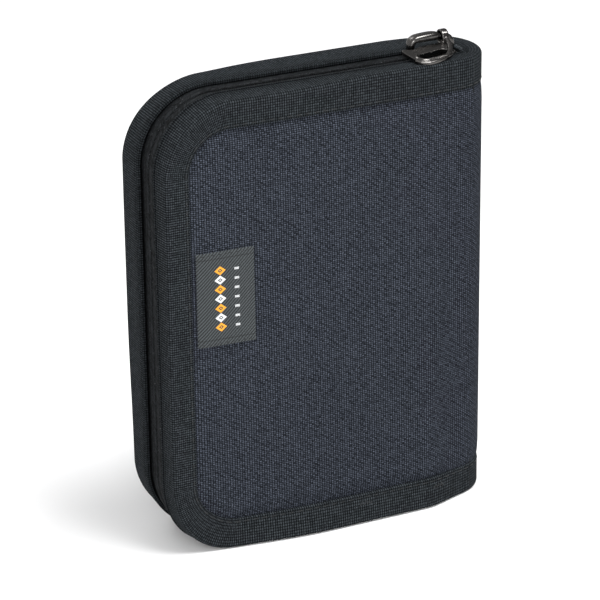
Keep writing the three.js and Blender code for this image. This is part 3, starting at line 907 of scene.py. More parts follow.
def label_weave(width, height):
    """Satin label with slanting stripes, a hem at each end with painted shade along its fold, and a row of
    plain lozenges.
    """
    c = colours()
    material, graph, shader = new_material("label_weave", 0.62, specular=0.25, sheen=0.05)
    x, y = graph.parts(cloth_coordinates(graph))
    rising = graph.maths("SUBTRACT", y, x)
    stripe = graph.wave(graph.maths("DIVIDE", rising, 1.15))
    threads = graph.wave(graph.maths("DIVIDE", x, 0.22))
    picks = graph.random(graph.maths("FLOOR", graph.maths("DIVIDE", x, 0.22)),
                         graph.maths("FLOOR", graph.maths("DIVIDE", y, 0.3)))
    ground = graph.tint(graph.between(stripe, 0.45, 0.95), scaled(c.label, 0.5), scaled(c.label, 3.2))
    ground = graph.tint(graph.maths("MULTIPLY", picks, 0.3), ground, scaled(c.label, 1.4))

    # Lozenges up the middle, every second one in the motif's colour
    step = 3.1
    count = 7
    start = (height - count * step) / 2
    row = graph.maths("DIVIDE", graph.maths("SUBTRACT", y, start), step)
    up = graph.maths("ABSOLUTE", graph.maths("SUBTRACT", graph.maths("FRACT", row), 0.5))
    off = graph.maths("ABSOLUTE", graph.maths("SUBTRACT", x, width * 0.40))
    size = graph.maths("ADD", graph.maths("MULTIPLY", up, 2.05), graph.maths("DIVIDE", off, 1.9))
    ring = graph.maths("MULTIPLY", graph.maths("LESS_THAN", size, 1.0),
                       graph.maths("GREATER_THAN", size, 0.42))
    in_row = graph.maths("MULTIPLY", graph.maths("GREATER_THAN", row, 0.0),
                         graph.maths("LESS_THAN", row, float(count)))
    shape = graph.maths("MAXIMUM", ring, graph.maths("LESS_THAN", size, 0.2))
    shape = graph.maths("MULTIPLY", shape, in_row)
    second = graph.maths("LESS_THAN", graph.maths("MODULO", graph.maths("FLOOR", row), 2.0), 0.5)
    mark = graph.tint(second, (0.72, 0.73, 0.74, 1.0), (*c.motif, 1.0))

    # A line of short bars beside them
    away = graph.maths("ABSOLUTE", graph.maths("SUBTRACT", x, width * 0.69))
    dash = graph.maths("MULTIPLY", graph.maths("LESS_THAN", up, 0.13), graph.maths("LESS_THAN", away, 0.75))
    dash = graph.maths("MULTIPLY", dash, in_row)
    woven_in = graph.tint(shape, graph.tint(dash, ground, (0.52, 0.53, 0.54, 1.0)), mark)

    # Painted shade: a dark line along the fold of each hem
    hem = graph.maths("MINIMUM", y, graph.maths("SUBTRACT", height, y))
    fold = graph.between(graph.maths("ABSOLUTE", graph.maths("SUBTRACT", hem, 2.2)), 0.05, 0.35, 0.55, 1.0)
    graph.feed(shader.inputs["Base Color"], graph.shaded(woven_in, fold))
    raised = graph.maths("MAXIMUM", shape, dash)
    relief = graph.maths("ADD", graph.maths("MULTIPLY", threads, 0.4), graph.maths("ADD", stripe, raised))
    bump(graph, shader, relief, 0.07 * MM)
    return material


# ---------------------------------------------------------------- sewing


def bead(length, width, height):
    """A stitch: a short thread, thickest in its middle, that dives in at both ends."""
    around, along = 8, 7
    u = np.linspace(-1, 1, along)
    swell = np.sqrt(np.maximum(1 - u**4, 0.02))
    turn = full_turn(around)
    dive = (u**4)[:, None] * height * 0.8
    points = together(u[:, None] * length / 2, swell[:, None] * np.cos(turn) * width / 2,
                      swell[:, None] * np.sin(turn) * height / 2 - dive).reshape(-1, 3)
    faces = []
    for i in range(along - 1):
        for k in range(around):
            n = (k + 1) % around
            faces.append([i * around + k, i * around + n, (i + 1) * around + n, (i + 1) * around + k])
    faces.append(list(range(around))[::-1])
    faces.append([(along - 1) * around + k for k in range(around)])
    return points, faces


def sew(draft, line, outward, length=None, width=0.42 * MM, height=0.30 * MM):
    """Stitches along a line of points. outward is the cloth's normal at each point."""
    length = length or sizes().stitch_length
    line = np.asarray(line, float)
    run = lengths(line)
    count = max(1, int(run[-1] / length))
    middles = (np.arange(count) + 0.5) * run[-1] / count
    places = np.stack([np.interp(middles, run, line[:, k]) for k in range(3)], -1)
    ahead = np.stack([np.interp(middles + length / 3, run, line[:, k]) for k in range(3)], -1)
    behind = np.stack([np.interp(middles - length / 3, run, line[:, k]) for k in range(3)], -1)
    along = unit(ahead - behind)
    up = np.broadcast_to(np.asarray(outward, float), line.shape)
    up = np.stack([np.interp(middles, run, up[:, k]) for k in range(3)], -1)
    up = unit(up - along * (up * along).sum(1, keepdims=True))
    across = np.cross(up, along)
    shape, faces = bead(length * 0.80, width, height)
    draft.copies(shape, faces, places, along, across, up)


# ---------------------------------------------------------------- the wallet's pieces


class WALLET_OT_panels(bpy.types.Operator):
    """Outer cloth of both covers and of the spine between them"""

    bl_idname = "wallet.panels"
    bl_label = "Outer cloth"
    bl_options = {"REGISTER", "UNDO"}

    def execute(self, context):
        inset = 3 * MM
        for side in (FRONT, BACK):
            def top(x, z, side=side):
                return cloth_depth(x, z, side)

            def bottom(x, z, side=side):
                return cloth_depth(x, z, side) + OUTER_THICKNESS

            draft = cover_slab(side, inset, FOLD, top, bottom, roll=0.3 * MM)
            made = piece(f"{WORD[side]}_panel_cloth", draft, outer_cloth(), BODY[side],
                         [f"{WORD[side]}_outer_fabric"], crease=55)

        def spine_bottom(z):
            return depth_at_fold(z) + OUTER_THICKNESS

        draft = spine_slab(inset, depth_at_fold, spine_bottom, roll=0.3 * MM)
        made = piece("spine_panel_cloth", draft, outer_cloth(), "spine",
                     ["spine_outer_fabric"], crease=55)
        flatten_when_open(made)
        return {"FINISHED"}


class WALLET_OT_padding(bpy.types.Operator):
    """Foam pads and stiffener boards behind the cloth"""

    bl_idname = "wallet.padding"
    bl_label = "Padding and boards"
    bl_options = {"REGISTER", "UNDO"}

    def execute(self, context):
        foam = moulded("closed_cell_foam", (0.12, 0.12, 0.12), 0.9, 1800.0, 0.08 * MM, 0.2)
        board = moulded("stiffener_board", (0.03, 0.03, 0.03), 0.55, 900.0, 0.02 * MM)
        end = FOLD - 0.8 * MM
        rows = round(HEIGHT / (2 * MM))
        for side in (FRONT, BACK):
            word = WORD[side]

            def foam_top(x, z, side=side):
                return cloth_depth(x, z, side) + FOAM_TOP

            def flat(depth):
                return lambda x, z: np.full_like(z, depth)

            pad = cover_slab(side, 3.4 * MM, end, foam_top, flat(4.2 * MM), 0.9 * MM, 0.3 * MM, rows)
            made = piece(f"{word}_foam_pad", pad, foam, BODY[side], [f"{word}_foam"])
            sheet = cover_slab(side, 3.2 * MM, end, flat(BOARD_TOP), flat(BOARD_BOTTOM),
                               0.15 * MM, 0.1 * MM, rows)
            piece(f"{word}_board", sheet, board, BODY[side], [f"{word}_stiffener"])

        def spine_foam_top(z):
            return depth_at_fold(z) + FOAM_TOP

        def spine_foam_bottom(z):
            return np.full_like(z, 4.1 * MM)

        pad = spine_slab(3.4 * MM, spine_foam_top, spine_foam_bottom, 0.8 * MM, tuck=0.03)
        made = piece("spine_foam_pad", pad, foam, "spine", ["spine_foam"])
        flatten_when_open(made)
        return {"FINISHED"}


class WALLET_OT_linings(bpy.types.Operator):
    """Nylon linings, with the facings that close the covers' ends at the folds"""

    bl_idname = "wallet.linings"
    bl_label = "Linings"
    bl_options = {"REGISTER", "UNDO"}

    def execute(self, context):
        nylon = lining_nylon()
        for side in (FRONT, BACK):
            word = WORD[side]

            def top(x, z):
                return np.full_like(z, LINING_TOP)

            def bottom(x, z, side=side):
                slack = np.sin(x / (13 * MM) + z / (37 * MM) + side) * np.sin(z / (19 * MM) + side)
                inner = ease(edge_distance(x, z), 3 * MM, 9 * MM)
                return LINING_BOTTOM + 0.12 * MM * slack * inner

            draft = cover_slab(side, 3 * MM, FOLD - 0.6 * MM, top, bottom, 0.2 * MM, 0.2 * MM)
            made = piece(f"{word}_lining_cloth", draft, nylon, BODY[side], [f"{word}_lining"])
            facing = Draft()
            line = soften([(FOLD - 2.2 * MM, 6.15 * MM), (FOLD - 0.35 * MM, 6.1 * MM),
                           (FOLD - 0.3 * MM, 1.9 * MM)], 2)
            section = band(line, 0.22 * MM)
            z = np.arange(3.2 * MM, HEIGHT - 3.2 * MM, 2 * MM)
            x, depth = section[None, :, 0], section[None, :, 1]
            points = together(x, side * (half_thickness(x) - depth), z[:, None])
            facing.tube(points, section_cloth(section, z))
            piece(f"{word}_fold_facing", facing, nylon, BODY[side])
            piece(f"{word}_fold_cord", self.fold_cord(side), nylon, BODY[side])
            made = piece(f"spine_fold_cord_{word}", self.fold_cord(side), nylon, "spine")
            flatten_when_open(made)
        self.spine_lining(nylon)
        return {"FINISHED"}

    @staticmethod
    def fold_cord(side):
        """A thin cord of lining that keeps a fold closed when the wallet opens."""
        around = full_turn(12)
        z = np.linspace(1.2 * MM, HEIGHT - 1.2 * MM, 296)
        radius = 0.52 * MM
        x = FOLD + radius * np.cos(around)
        width = sizes().binding_width
        clear = ease(np.minimum(z, HEIGHT - z), width - 1.6 * MM, width - 0.2 * MM)
        sunk = np.minimum(depth_at_fold(z, side) + 0.10 * MM, 0.22 * MM)
        deep = 0.52 * MM + sunk * clear
        y = side * (half_thickness(FOLD) - deep[:, None] + radius * np.sin(around))
        draft = Draft()
        draft.tube(together(x[None, :], y, z[:, None]))
        return draft

    def spine_lining(self, nylon):
        """Lining of the spine. Its ends turn outwards at the fold lines and cover the foam's ends."""
        t = np.linspace(-0.985, 0.985, 25)
        arc = on_spine(t, 4.55 * MM, 0.0)[:, :2]
        first = on_spine(np.full(5, -0.985), np.linspace(1.9, 4.2, 5) * MM, 0.0)[:, :2]
        last = on_spine(np.full(5, 0.985), np.linspace(4.2, 1.9, 5) * MM, 0.0)[:, :2]
        section = band(soften(np.concatenate([first, arc, last])), 0.3 * MM)
        z = np.arange(3.2 * MM, HEIGHT - 3.2 * MM, 2 * MM)
        cloth = section_cloth(section, z)
        draft = Draft()
        draft.tube(together(section[None, :, 0], section[None, :, 1], z[:, None]), cloth)
        made = piece("spine_lining_cloth", draft, nylon, "spine", ["spine_lining"])
        flatten_when_open(made)


def binding_section(wall):
    """Section of the folded edge tape, as (inset, depth), from its inner edge round to its inside."""
    s = sizes()
    width, roll = s.binding_width, s.binding_roll
    points = [(width, 0.66 * MM), (width - 0.05 * MM, 0.34 * MM), (width - 0.25 * MM, 0.10 * MM),
              (width - 0.65 * MM, 0.04 * MM), (width - SEAM_FROM_EDGE, 0.19 * MM),
              (width - 1.45 * MM, 0.03 * MM)]
    points += [(width - d * MM, 0.0) for d in (2.2, 3.4, 4.6, 5.8, 7.0, 8.0)]
    for degrees in (90, 75, 60, 45, 30, 15, 0):
        turn = math.radians(degrees)
        points.append((roll * (1 - math.cos(turn)), roll * (1 - math.sin(turn))))
    seam = wall - 1.35 * MM
    points += [(0.0, roll + (seam - roll) * share) for share in (0.2, 0.4, 0.6, 0.8, 0.93)]
    points += [(0.14 * MM, seam), (0.55 * MM, seam + 0.18 * MM), (0.55 * MM, seam + 0.34 * MM),
               (0.06 * MM, seam + 0.50 * MM), (0.0, seam + 0.85 * MM), (0.10 * MM, seam + 1.15 * MM),
               (0.40 * MM, wall), (1.0 * MM, wall), (1.4 * MM, wall - 0.2 * MM),
               (1.55 * MM, wall - 0.6 * MM), (1.58 * MM, 0.7 * wall), (1.6 * MM, 0.45 * wall)]
    points += [(1.7 * MM, 1.3 * MM), (2.1 * MM, 0.85 * MM), (4.5 * MM, 0.8 * MM),
               (7.5 * MM, 0.8 * MM), (width - 0.4 * MM, 0.8 * MM)]
    return np.array(points)


def tape_ripple(s, inset, depth, wall):
    """How far the tape is drawn in by its stitches and how it wanders, for places along it."""
    size = sizes()
    pull = np.cos(2 * math.pi * s / size.stitch_length)
    row = hump(inset, size.binding_width - SEAM_FROM_EDGE, 0.8 * MM)
    on_face = (depth < 0.5 * MM) & (inset > 1.5 * MM)
    wander = np.sin(s / (9 * MM)) * np.sin(s / (37 * MM) + 1) * ease(inset, 1.5 * MM, 6 * MM)
    face = np.where(on_face, 0.035 * MM * row * pull + 0.05 * MM * wander, 0.0)
    on_wall = (inset < 1.0 * MM) & (depth > 2 * MM)
    bulge = np.sin(np.pi * np.clip(depth / wall, 0, 1))
    bulge = np.sin(s / (13 * MM) + 0.7) * np.sin(s / (29 * MM)) * bulge
    side = np.where(on_wall, 0.10 * MM + 0.10 * MM * bulge, 0.0)
    return face, side


def lean(s, inset, depth, side):
    """How far the wall leans in towards the face: most at the corners, hardly at all at the bottom."""
    first, second = corner_shares(s)
    turns = np.sin(math.pi * first) + np.sin(math.pi * second)
    fade = np.clip(1 - inset / (8 * MM), 0, 1)
    outer = fade * np.clip(1 - depth / (WALL[side] * 0.9), 0, 1) ** 0.8
    if side == BACK:
        return 0.6 * sizes().wall_lean * turns * outer
    x, _ = rim(s, 0.0)
    upper = ease(first, 0, 1) * (1 - second) + second * (1 - ease(x, -16 * MM, 20 * MM))
    return sizes().wall_lean * (upper + 0.7 * turns) * outer + front_step(s) * fade


def end_patch(top):
    """A stuffed end of tape that closes the spine between its walls, behind the ends of the zip."""
    t = np.linspace(-0.9, 0.9, 21)
    arc = on_spine(t, 5.1 * MM, 0.0)[:, :2]
    chord = np.linspace((FOLD + 0.35 * MM, arc[-1, 1]), (FOLD + 0.35 * MM, arc[0, 1]), 9)
    outline = np.concatenate([arc, chord])
    middle = outline.mean(0)
    draft = Draft()
    rows = []
    shares = ((0.55, 3.6), (0.96, 3.4), (1.0, 2.6), (1.02, 1.3), (0.98, 0.8), (0.8, 0.6), (0.4, 0.55))
    for reach, level in shares:
        ring = middle + (outline - middle) * reach
        z = np.full(len(ring), level * MM)
        rows.append(np.c_[ring, HEIGHT - z if top else z])
    rows = np.array(rows)
    draft.tube(rows, rows[..., :2] / MM)
    return draft


class WALLET_OT_bindings(bpy.types.Operator):
    """Ribbed tape folded over the edges of the covers and over the ends of the spine"""

    bl_idname = "wallet.bindings"
    bl_label = "Edge tapes"
    bl_options = {"REGISTER", "UNDO"}

    def execute(self, context):
        for side in (FRONT, BACK):
            wall = WALL[side]
            section = binding_section(wall)
            s = np.linspace(0.005 * MM, rim_total() - 0.005 * MM, round(rim_total() / (0.75 * MM)))
            inset, depth = section[None, :, 0], section[None, :, 1]
            face, edge = tape_ripple(s[:, None], inset, depth, wall)
            pulled_in = inset + edge + lean(s[:, None], inset, depth, side)
            draft = Draft()
            draft.tube(on_cover(side, s[:, None], pulled_in, depth + face), section_cloth(section, s))
            piece(f"{WORD[side]}_edge_tape", draft, edge_tape(), BODY[side],
                  [f"{WORD[side]}_binding"], crease=60)
        section = binding_section(WALL[FRONT] - 1.5 * MM)
        t = np.linspace(-1, 1, 57)
        for word, top in (("top", True), ("bottom", False)):
            inset = section[None, :, 0] + np.zeros((len(t), 1))
            z = HEIGHT - inset if top else inset
            settled = 0.12 * MM * (1 - t[:, None] ** 2)
            draft = Draft()
            draft.tube(on_spine(t[:, None], section[None, :, 1] + settled, z),
                       section_cloth(section, spine_arc(t)))
            made = piece(f"spine_edge_tape_{word}", draft, edge_tape(), "spine",
                         [f"spine_binding_{word}"], crease=60)
            flatten_when_open(made)
            made = piece(f"spine_end_patch_{word}", end_patch(top), edge_tape(), "spine")
            flatten_when_open(made)
        return {"FINISHED"}


class WALLET_OT_stitching(bpy.types.Operator):
    """Rows of stitches that hold the edge tapes, and the bar tacks"""

    bl_idname = "wallet.stitching"
    bl_label = "Stitching"
    bl_options = {"REGISTER", "UNDO"}

    def execute(self, context):
        inset = sizes().binding_width - SEAM_FROM_EDGE
        for side in (FRONT, BACK):
            draft = Draft()
            s = np.linspace(0, rim_total(), 700)
            sew(draft, on_cover(side, s, inset, 0.13 * MM), (0, side, 0))
            if side == FRONT:
                for x in (9 * MM, 36 * MM):
                    self.bar_tack(draft, x)
            piece(f"{WORD[side]}_edge_stitches", draft, sewing_thread(), BODY[side])
        draft = Draft()
        t = np.linspace(-1, 1, 80)
        for z in (inset, HEIGHT - inset):
            line = on_spine(t, 0.13 * MM, z)
            outward = line - np.array([bend_start(), 0, 0])
            outward[:, 2] = 0
            sew(draft, line, outward)
        made = piece("spine_edge_stitches", draft, sewing_thread(), "spine")
        flatten_when_open(made)
        draft = Draft()
        for i in range(TACK_STITCHES):
            y = (i - TACK_STITCHES // 2) * 0.85 * MM
            for z, up in ((HEIGHT - 0.5 * MM, 1), (0.5 * MM, -1)):
                line = np.array([(FOLD + 0.9 * MM, y, z), (FOLD + 2.9 * MM, y + 0.4 * MM * (-1) ** i, z)])
                sew(draft, line, (0, 0, up), length=2.2 * MM, width=0.45 * MM, height=0.35 * MM)
        made = piece("spine_end_tacks", draft, thread("tack_thread", 4.0), "spine")
        flatten_when_open(made)
        return {"FINISHED"}

    @staticmethod
    def bar_tack(draft, x):
        """Close zigzag stitches across the tape at the bottom edge of the front."""
        for i in range(TACK_STITCHES):
            a = x + (i - TACK_STITCHES // 2) * 0.62 * MM
            low = 6.0 * MM + 0.6 * MM * (i % 2)
            x_ends, z_ends = np.array([a, a + 0.45 * MM]), np.array([low, low + 1.5 * MM])
            line = cover_place(x_ends, z_ends, 0.02 * MM, FRONT)
            sew(draft, line, (0, -1, 0), length=1.7 * MM, width=0.45 * MM, height=0.4 * MM)


def zip_places():
    """The zip's tapes and coils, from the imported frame: inset of the tape and y of each coil."""
    low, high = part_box("front_zip_coil")
    back_low, back_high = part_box("back_zip_coil")
    tape_low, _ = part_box("front_zip_tape")
    return {
        "coil_inset": HEIGHT - high.z,
        "tape_inset": tape_low.z,
        FRONT: (low.y, high.y),
        BACK: (back_high.y, back_low.y),
        "coil_end": high.x,
    }


class WALLET_OT_zip(bpy.types.Operator):
    """Zip tapes, coils and stops"""

    bl_idname = "wallet.zip"
    bl_label = "Zip"
    bl_options = {"REGISTER", "UNDO"}

    def execute(self, context):
        place = zip_places()
        cover = zip_cloth()
        nylon = moulded("zip_nylon", (0.012, 0.0125, 0.014), 0.38, 2500.0, 0.01 * MM, 0.3)
        for side in (FRONT, BACK):
            root, head = place[side]
            toward = 1 if head > root else -1
            self.tape(side, place, root, head, toward, cover)
            self.coil(side, place, root, head, toward, nylon)
        self.stops()
        return {"FINISHED"}

    def tape(self, side, place, root, head, toward, cover):
        """Tape from inside the edge tape, stepping up over the coil, with a corded free edge."""
        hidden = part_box(f"{WORD[side]}_zip_tape")[0 if side == FRONT else 1].y
        flat = place["tape_inset"] + 0.3 * MM
        over = place["coil_inset"] + 0.2 * MM
        line = soften([(flat, hidden), (flat, hidden + (root - hidden) * 0.45),
                       (flat - 0.5 * MM, root - toward * 1.9 * MM),
                       (flat - 0.45 * MM, root - toward * 0.35 * MM),
                       (over, root + toward * 0.25 * MM), (over, head - toward * 0.5 * MM),
                       (over + 0.25 * MM, head - toward * 0.1 * MM)], 2)
        section = band(line, 0.36 * MM)
        s = np.linspace(0.3 * MM, rim_total() - 0.3 * MM, round(rim_total() / (1.1 * MM)))
        pitch = sizes().tooth_pitch
        over_coil = ease((section[:, 1] - root) * toward, 0.2 * MM, 0.8 * MM)
        ridge = 0.05 * MM * np.cos(2 * math.pi * s[:, None] / pitch) * over_coil[None, :]
        x, z = rim(s[:, None], section[None, :, 0] + ridge + front_step(s[:, None]) / 2)
        straight, _, _ = rim_lengths()
        shut = 1 - ease(s[:, None], rim_total() - straight - 12 * MM, rim_total() - straight)
        reach = ease((section[None, :, 1] - root) * toward, 0.4 * MM, 2.2 * MM)
        y = section[None, :, 1] + toward * 0.55 * MM * shut * reach
        draft = Draft()
        draft.tube(together(x, y, z), section_cloth(section, s))
        name = f"{WORD[side]}_zip_tape"
        piece(f"{name}_cloth", draft, cover, BODY[side], [name])

    def coil(self, side, place, root, head, toward, nylon):
        """One long nylon thread wound into teeth. It is a flattened helix along the tape."""
        pitch = sizes().tooth_pitch
        end = FOLD - place["coil_end"]
        turns = int((rim_total() - 2 * end) / pitch)
        steps = 14
        turn = np.arange(turns * steps) * 2 * math.pi / steps
        if side == BACK:
            turn = turn + math.pi
        s = end + pitch * np.arange(turns * steps) / steps
        middle_y = (root + head) / 2
        reach = abs(head - root) / 2 - 0.25 * MM
        low = place["coil_inset"] + 0.62 * MM
        high = place["coil_inset"] + 1.75 * MM
        y = middle_y + toward * reach * squared(np.cos(turn), 0.7)
        inset = (low + high) / 2 + (high - low) / 2 * np.sin(turn)
        inset = inset + front_step(s) / 2
        swell = 0.27 * MM + 0.06 * MM * np.maximum(np.cos(turn), 0)
        x, z = rim(s, inset)
        line = np.stack([x, y, z], -1)
        along = unit(np.gradient(line, axis=0))
        x2, z2 = rim(s + 0.1 * MM, inset)
        ahead = unit(np.stack([x2, y, z2], -1) - line)
        first = unit(np.cross(along, ahead))
        second = np.cross(along, first)
        ring = full_turn(7)
        points = (line[:, None] + swell[:, None, None] * (
            np.cos(ring)[None, :, None] * first[:, None] + np.sin(ring)[None, :, None] * second[:, None]))
        draft = Draft()
        draft.tube(points)
        name = f"{WORD[side]}_zip_coil"
        piece(f"{name}_teeth", draft, nylon, BODY[side], [name])

    @staticmethod
    def stops():
        """Crimped clips at the ends of the coils."""
        for name, body in (("front_zip_stop", "front_cover"), ("back_zip_stop", "back_cover"),
                           ("zip_bottom_stop", "back_cover")):
            low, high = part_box(name)
            made = clip(np.array(low), np.array(high))
            piece(f"{name}_clip", made, black_nickel(), body, [name], crease=40)


def clip(low, high):
    """A small pressed clip: a block with rounded edges and a crimp across its middle."""
    middle = (low + high) / 2
    half = (high - low) / 2
    rounding = 0.25 * MM
    level = np.array([-1, -0.92, -0.6, -0.25, 0, 0.25, 0.6, 0.92, 1])[:, None]
    pinch = 1 - 0.16 * hump(level, 0, 0.3) - (np.abs(level) == 1) * rounding / half[0] * 0.7
    turn = np.radians(np.arange(0, 360, 15))
    a = squared(np.cos(turn), 0.45) * pinch
    b = squared(np.sin(turn), 0.45) * pinch
    draft = Draft()
    draft.tube(middle + half * together(a, level, b))
    return draft


# ---------------------------------------------------------------- slider and pull


def round_bar(path, wide, tall, up, square=0.6):
    """A bar with a rounded oblong section along a path, in millimetres. up is its upper side."""
    path = np.asarray(path, float)
    along = unit(np.gradient(path, axis=0))
    up = np.broadcast_to(np.asarray(up, float), path.shape)
    across = unit(np.cross(along, up))
    up = np.cross(across, along)
    turn = full_turn(20)
    a = squared(np.cos(turn), square) * wide / 2
    b = squared(np.sin(turn), square) * tall / 2
    return path[:, None] + a[None, :, None] * across[:, None] + b[None, :, None] * up[:, None]


def plate(outline, bottom, top, edge):
    """A plate with rounded rims from an outline of (a, b), as rows of sections from bottom to top."""
    outline = np.asarray(outline, float)
    ahead = unit(np.roll(outline, -1, 0) - outline)
    behind = unit(outline - np.roll(outline, 1, 0))
    normal = ahead + behind
    normal = unit(np.stack([normal[:, 1], -normal[:, 0]], -1))
    rows = []
    for quarter, level in (((-90, -60, -30, 0), bottom + edge), ((0, 30, 60, 90), top - edge)):
        for turn in np.radians(quarter):
            pulled = outline - normal * edge * (1 - math.cos(turn))
            rows.append(np.c_[pulled, np.full(len(outline), level + edge * math.sin(turn))])
    return np.array(rows)


def spaced(outline, step):
    """Points an even distance apart round a closed outline."""
    closed = np.concatenate([outline, outline[:1]])
    run = lengths(closed)
    at = np.linspace(0, run[-1], max(8, round(run[-1] / step)), endpoint=False)
    return np.stack([np.interp(at, run, closed[:, k]) for k in range(2)], -1)


def rounded_loop(points, times=3):
    """Cuts the corners of a closed outline until it is smooth."""
    points = np.asarray(points, float)
    for _ in range(times):
        ahead = np.roll(points, -1, 0)
        pairs = np.stack([points * 0.75 + ahead * 0.25, points * 0.25 + ahead * 0.75], 1)
        points = pairs.reshape(-1, points.shape[1])
    return points


def cast(name, draft, place, voxel, body, nodes, smoothing=6):
    """Fuses rough shapes, drawn in millimetres, into one casting with soft inner corners."""
    made = piece(name, draft, black_nickel(), body, nodes)
    made.parent = None
    fuse = made.modifiers.new("fuse", "REMESH")
    fuse.mode = "VOXEL"
    fuse.voxel_size = voxel
    relax = made.modifiers.new("relax", "SMOOTH")
    relax.iterations = smoothing
    relax.factor = 0.5
    finish_modifiers(made)
    made.data.transform(place @ Matrix.Scale(MM, 4))
    made.data.shade_smooth()
    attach(made, body)
    return made


class WALLET_OT_slider(bpy.types.Operator):
    """Slider body, its crown and the lock spring under it"""

    bl_idname = "wallet.slider"
    bl_label = "Slider"
    bl_options = {"REGISTER", "UNDO"}

    def execute(self, context):
        low, high = (np.array(v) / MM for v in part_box("slider_body"))
        crown_low, crown_high = (np.array(v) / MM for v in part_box("slider_crown"))
        middle = (low[1] + high[1]) / 2
        self.body(low, high, middle)
        self.crown(crown_low, crown_high, middle)
        spring_low, spring_high = (np.array(v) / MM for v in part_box("slider_lock_spring"))
        path = np.linspace((spring_low[0], middle, (spring_low[2] + spring_high[2]) / 2),
                           (spring_high[0], middle, (spring_low[2] + spring_high[2]) / 2), 12)
        path[:, 2] += 0.12 * np.sin(np.linspace(0, math.pi, 12))
        draft = Draft()
        draft.tube(round_bar(path, spring_high[1] - spring_low[1], 0.3, (0, 0, 1), square=0.5))
        piece("slider_spring_leaf", draft, black_nickel(), "slider", ["slider_lock_spring"],
              crease=50, scale=MM)
        return {"FINISHED"}

    def body(self, low, high, middle):
        """Two waisted plates and the post between them."""
        nose, tail, wide = high[0], low[0], (high[1] - low[1]) / 2
        narrow = wide - 0.8
        half = [(tail, narrow - 1.2), (tail + 0.5, narrow), (tail + 5, narrow), (nose - 4, wide - 0.5),
                (nose - 1.5, wide), (nose - 0.3, wide - 1.2)]
        outline = [(x, middle + w) for x, w in half] + [(x, middle - w) for x, w in half[::-1]]
        outline = spaced(rounded_loop(outline), 0.35)[::-1]
        draft = Draft()
        draft.tube(plate(outline, high[2] - 1, high[2], 0.35))
        draft.tube(plate(outline, low[2], low[2] + 1, 0.35))
        post = rounded_loop([(nose - 2, middle - 0.42), (nose - 0.6, middle - 0.42),
                             (nose - 0.6, middle + 0.42), (nose - 2, middle + 0.42)], 2)[::-1]
        draft.tube(plate(post, low[2] + 0.5, high[2] - 0.5, 0.05))
        for x in (tail + 1.0, nose - 1.6):
            boss = [(x, middle, high[2] - 0.3), (x, middle, high[2] + 0.12)]
            draft.tube(round_bar(boss, 2.6, 2.0, (1, 0, 0)))
        cast("slider_plates", draft, Matrix.Identity(4), 0.14, "slider", ["slider_body"])

    def crown(self, low, high, middle):
        """The bridge that carries the pull: a broad ribbed arch that narrows to a bar inside the eye."""
        bar_z = high[2] - 0.85
        eye_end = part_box("slider_pull")[1].x / MM
        eye_start = eye_end - 2.4
        path = [(low[0] - 0.4, low[2] - 0.2, 3.2, 1.9), (low[0] - 0.7, low[2] + 2.6, 3.6, 2.0),
                (low[0] + 0.3, low[2] + 4.4, 3.9, 2.3), (low[0] + 3.0, bar_z + 0.65, 4.1, 2.7),
                (low[0] + 6.4, bar_z + 0.75, 4.0, 2.8), (eye_start - 0.9, bar_z + 0.55, 3.4, 2.6),
                (eye_start - 0.2, bar_z, 2.0, 1.8), (eye_end + 0.2, bar_z, 2.0, 1.8),
                (eye_end + 1.0, bar_z - 0.6, 2.8, 2.2), (high[0] - 0.2, bar_z - 2.2, 3.0, 1.9),
                (high[0] - 0.4, low[2] - 0.2, 3.0, 1.9)]
        path = soften(path, 2)
        centre = np.c_[path[:, 0], np.full(len(path), middle), path[:, 1]]
        across = np.array([0, 1.0, 0])
        up = np.cross(unit(np.gradient(centre, axis=0)), across)
        turn = full_turn(36)
        groove = 1 - 0.10 * hump(np.abs(np.cos(turn)), 0.42, 0.13) * (np.sin(turn) < 0)
        a = squared(np.cos(turn), 0.7) * groove / 2
        b = squared(np.sin(turn), 0.7) * groove / 2
        rows = (centre[:, None] + path[:, 2, None, None] * a[None, :, None] * across
                + path[:, 3, None, None] * b[None, :, None] * up[:, None])
        draft = Draft()
        draft.tube(rows)
        cast("slider_bridge", draft, Matrix.Identity(4), 0.12, "slider", ["slider_crown"], 3)


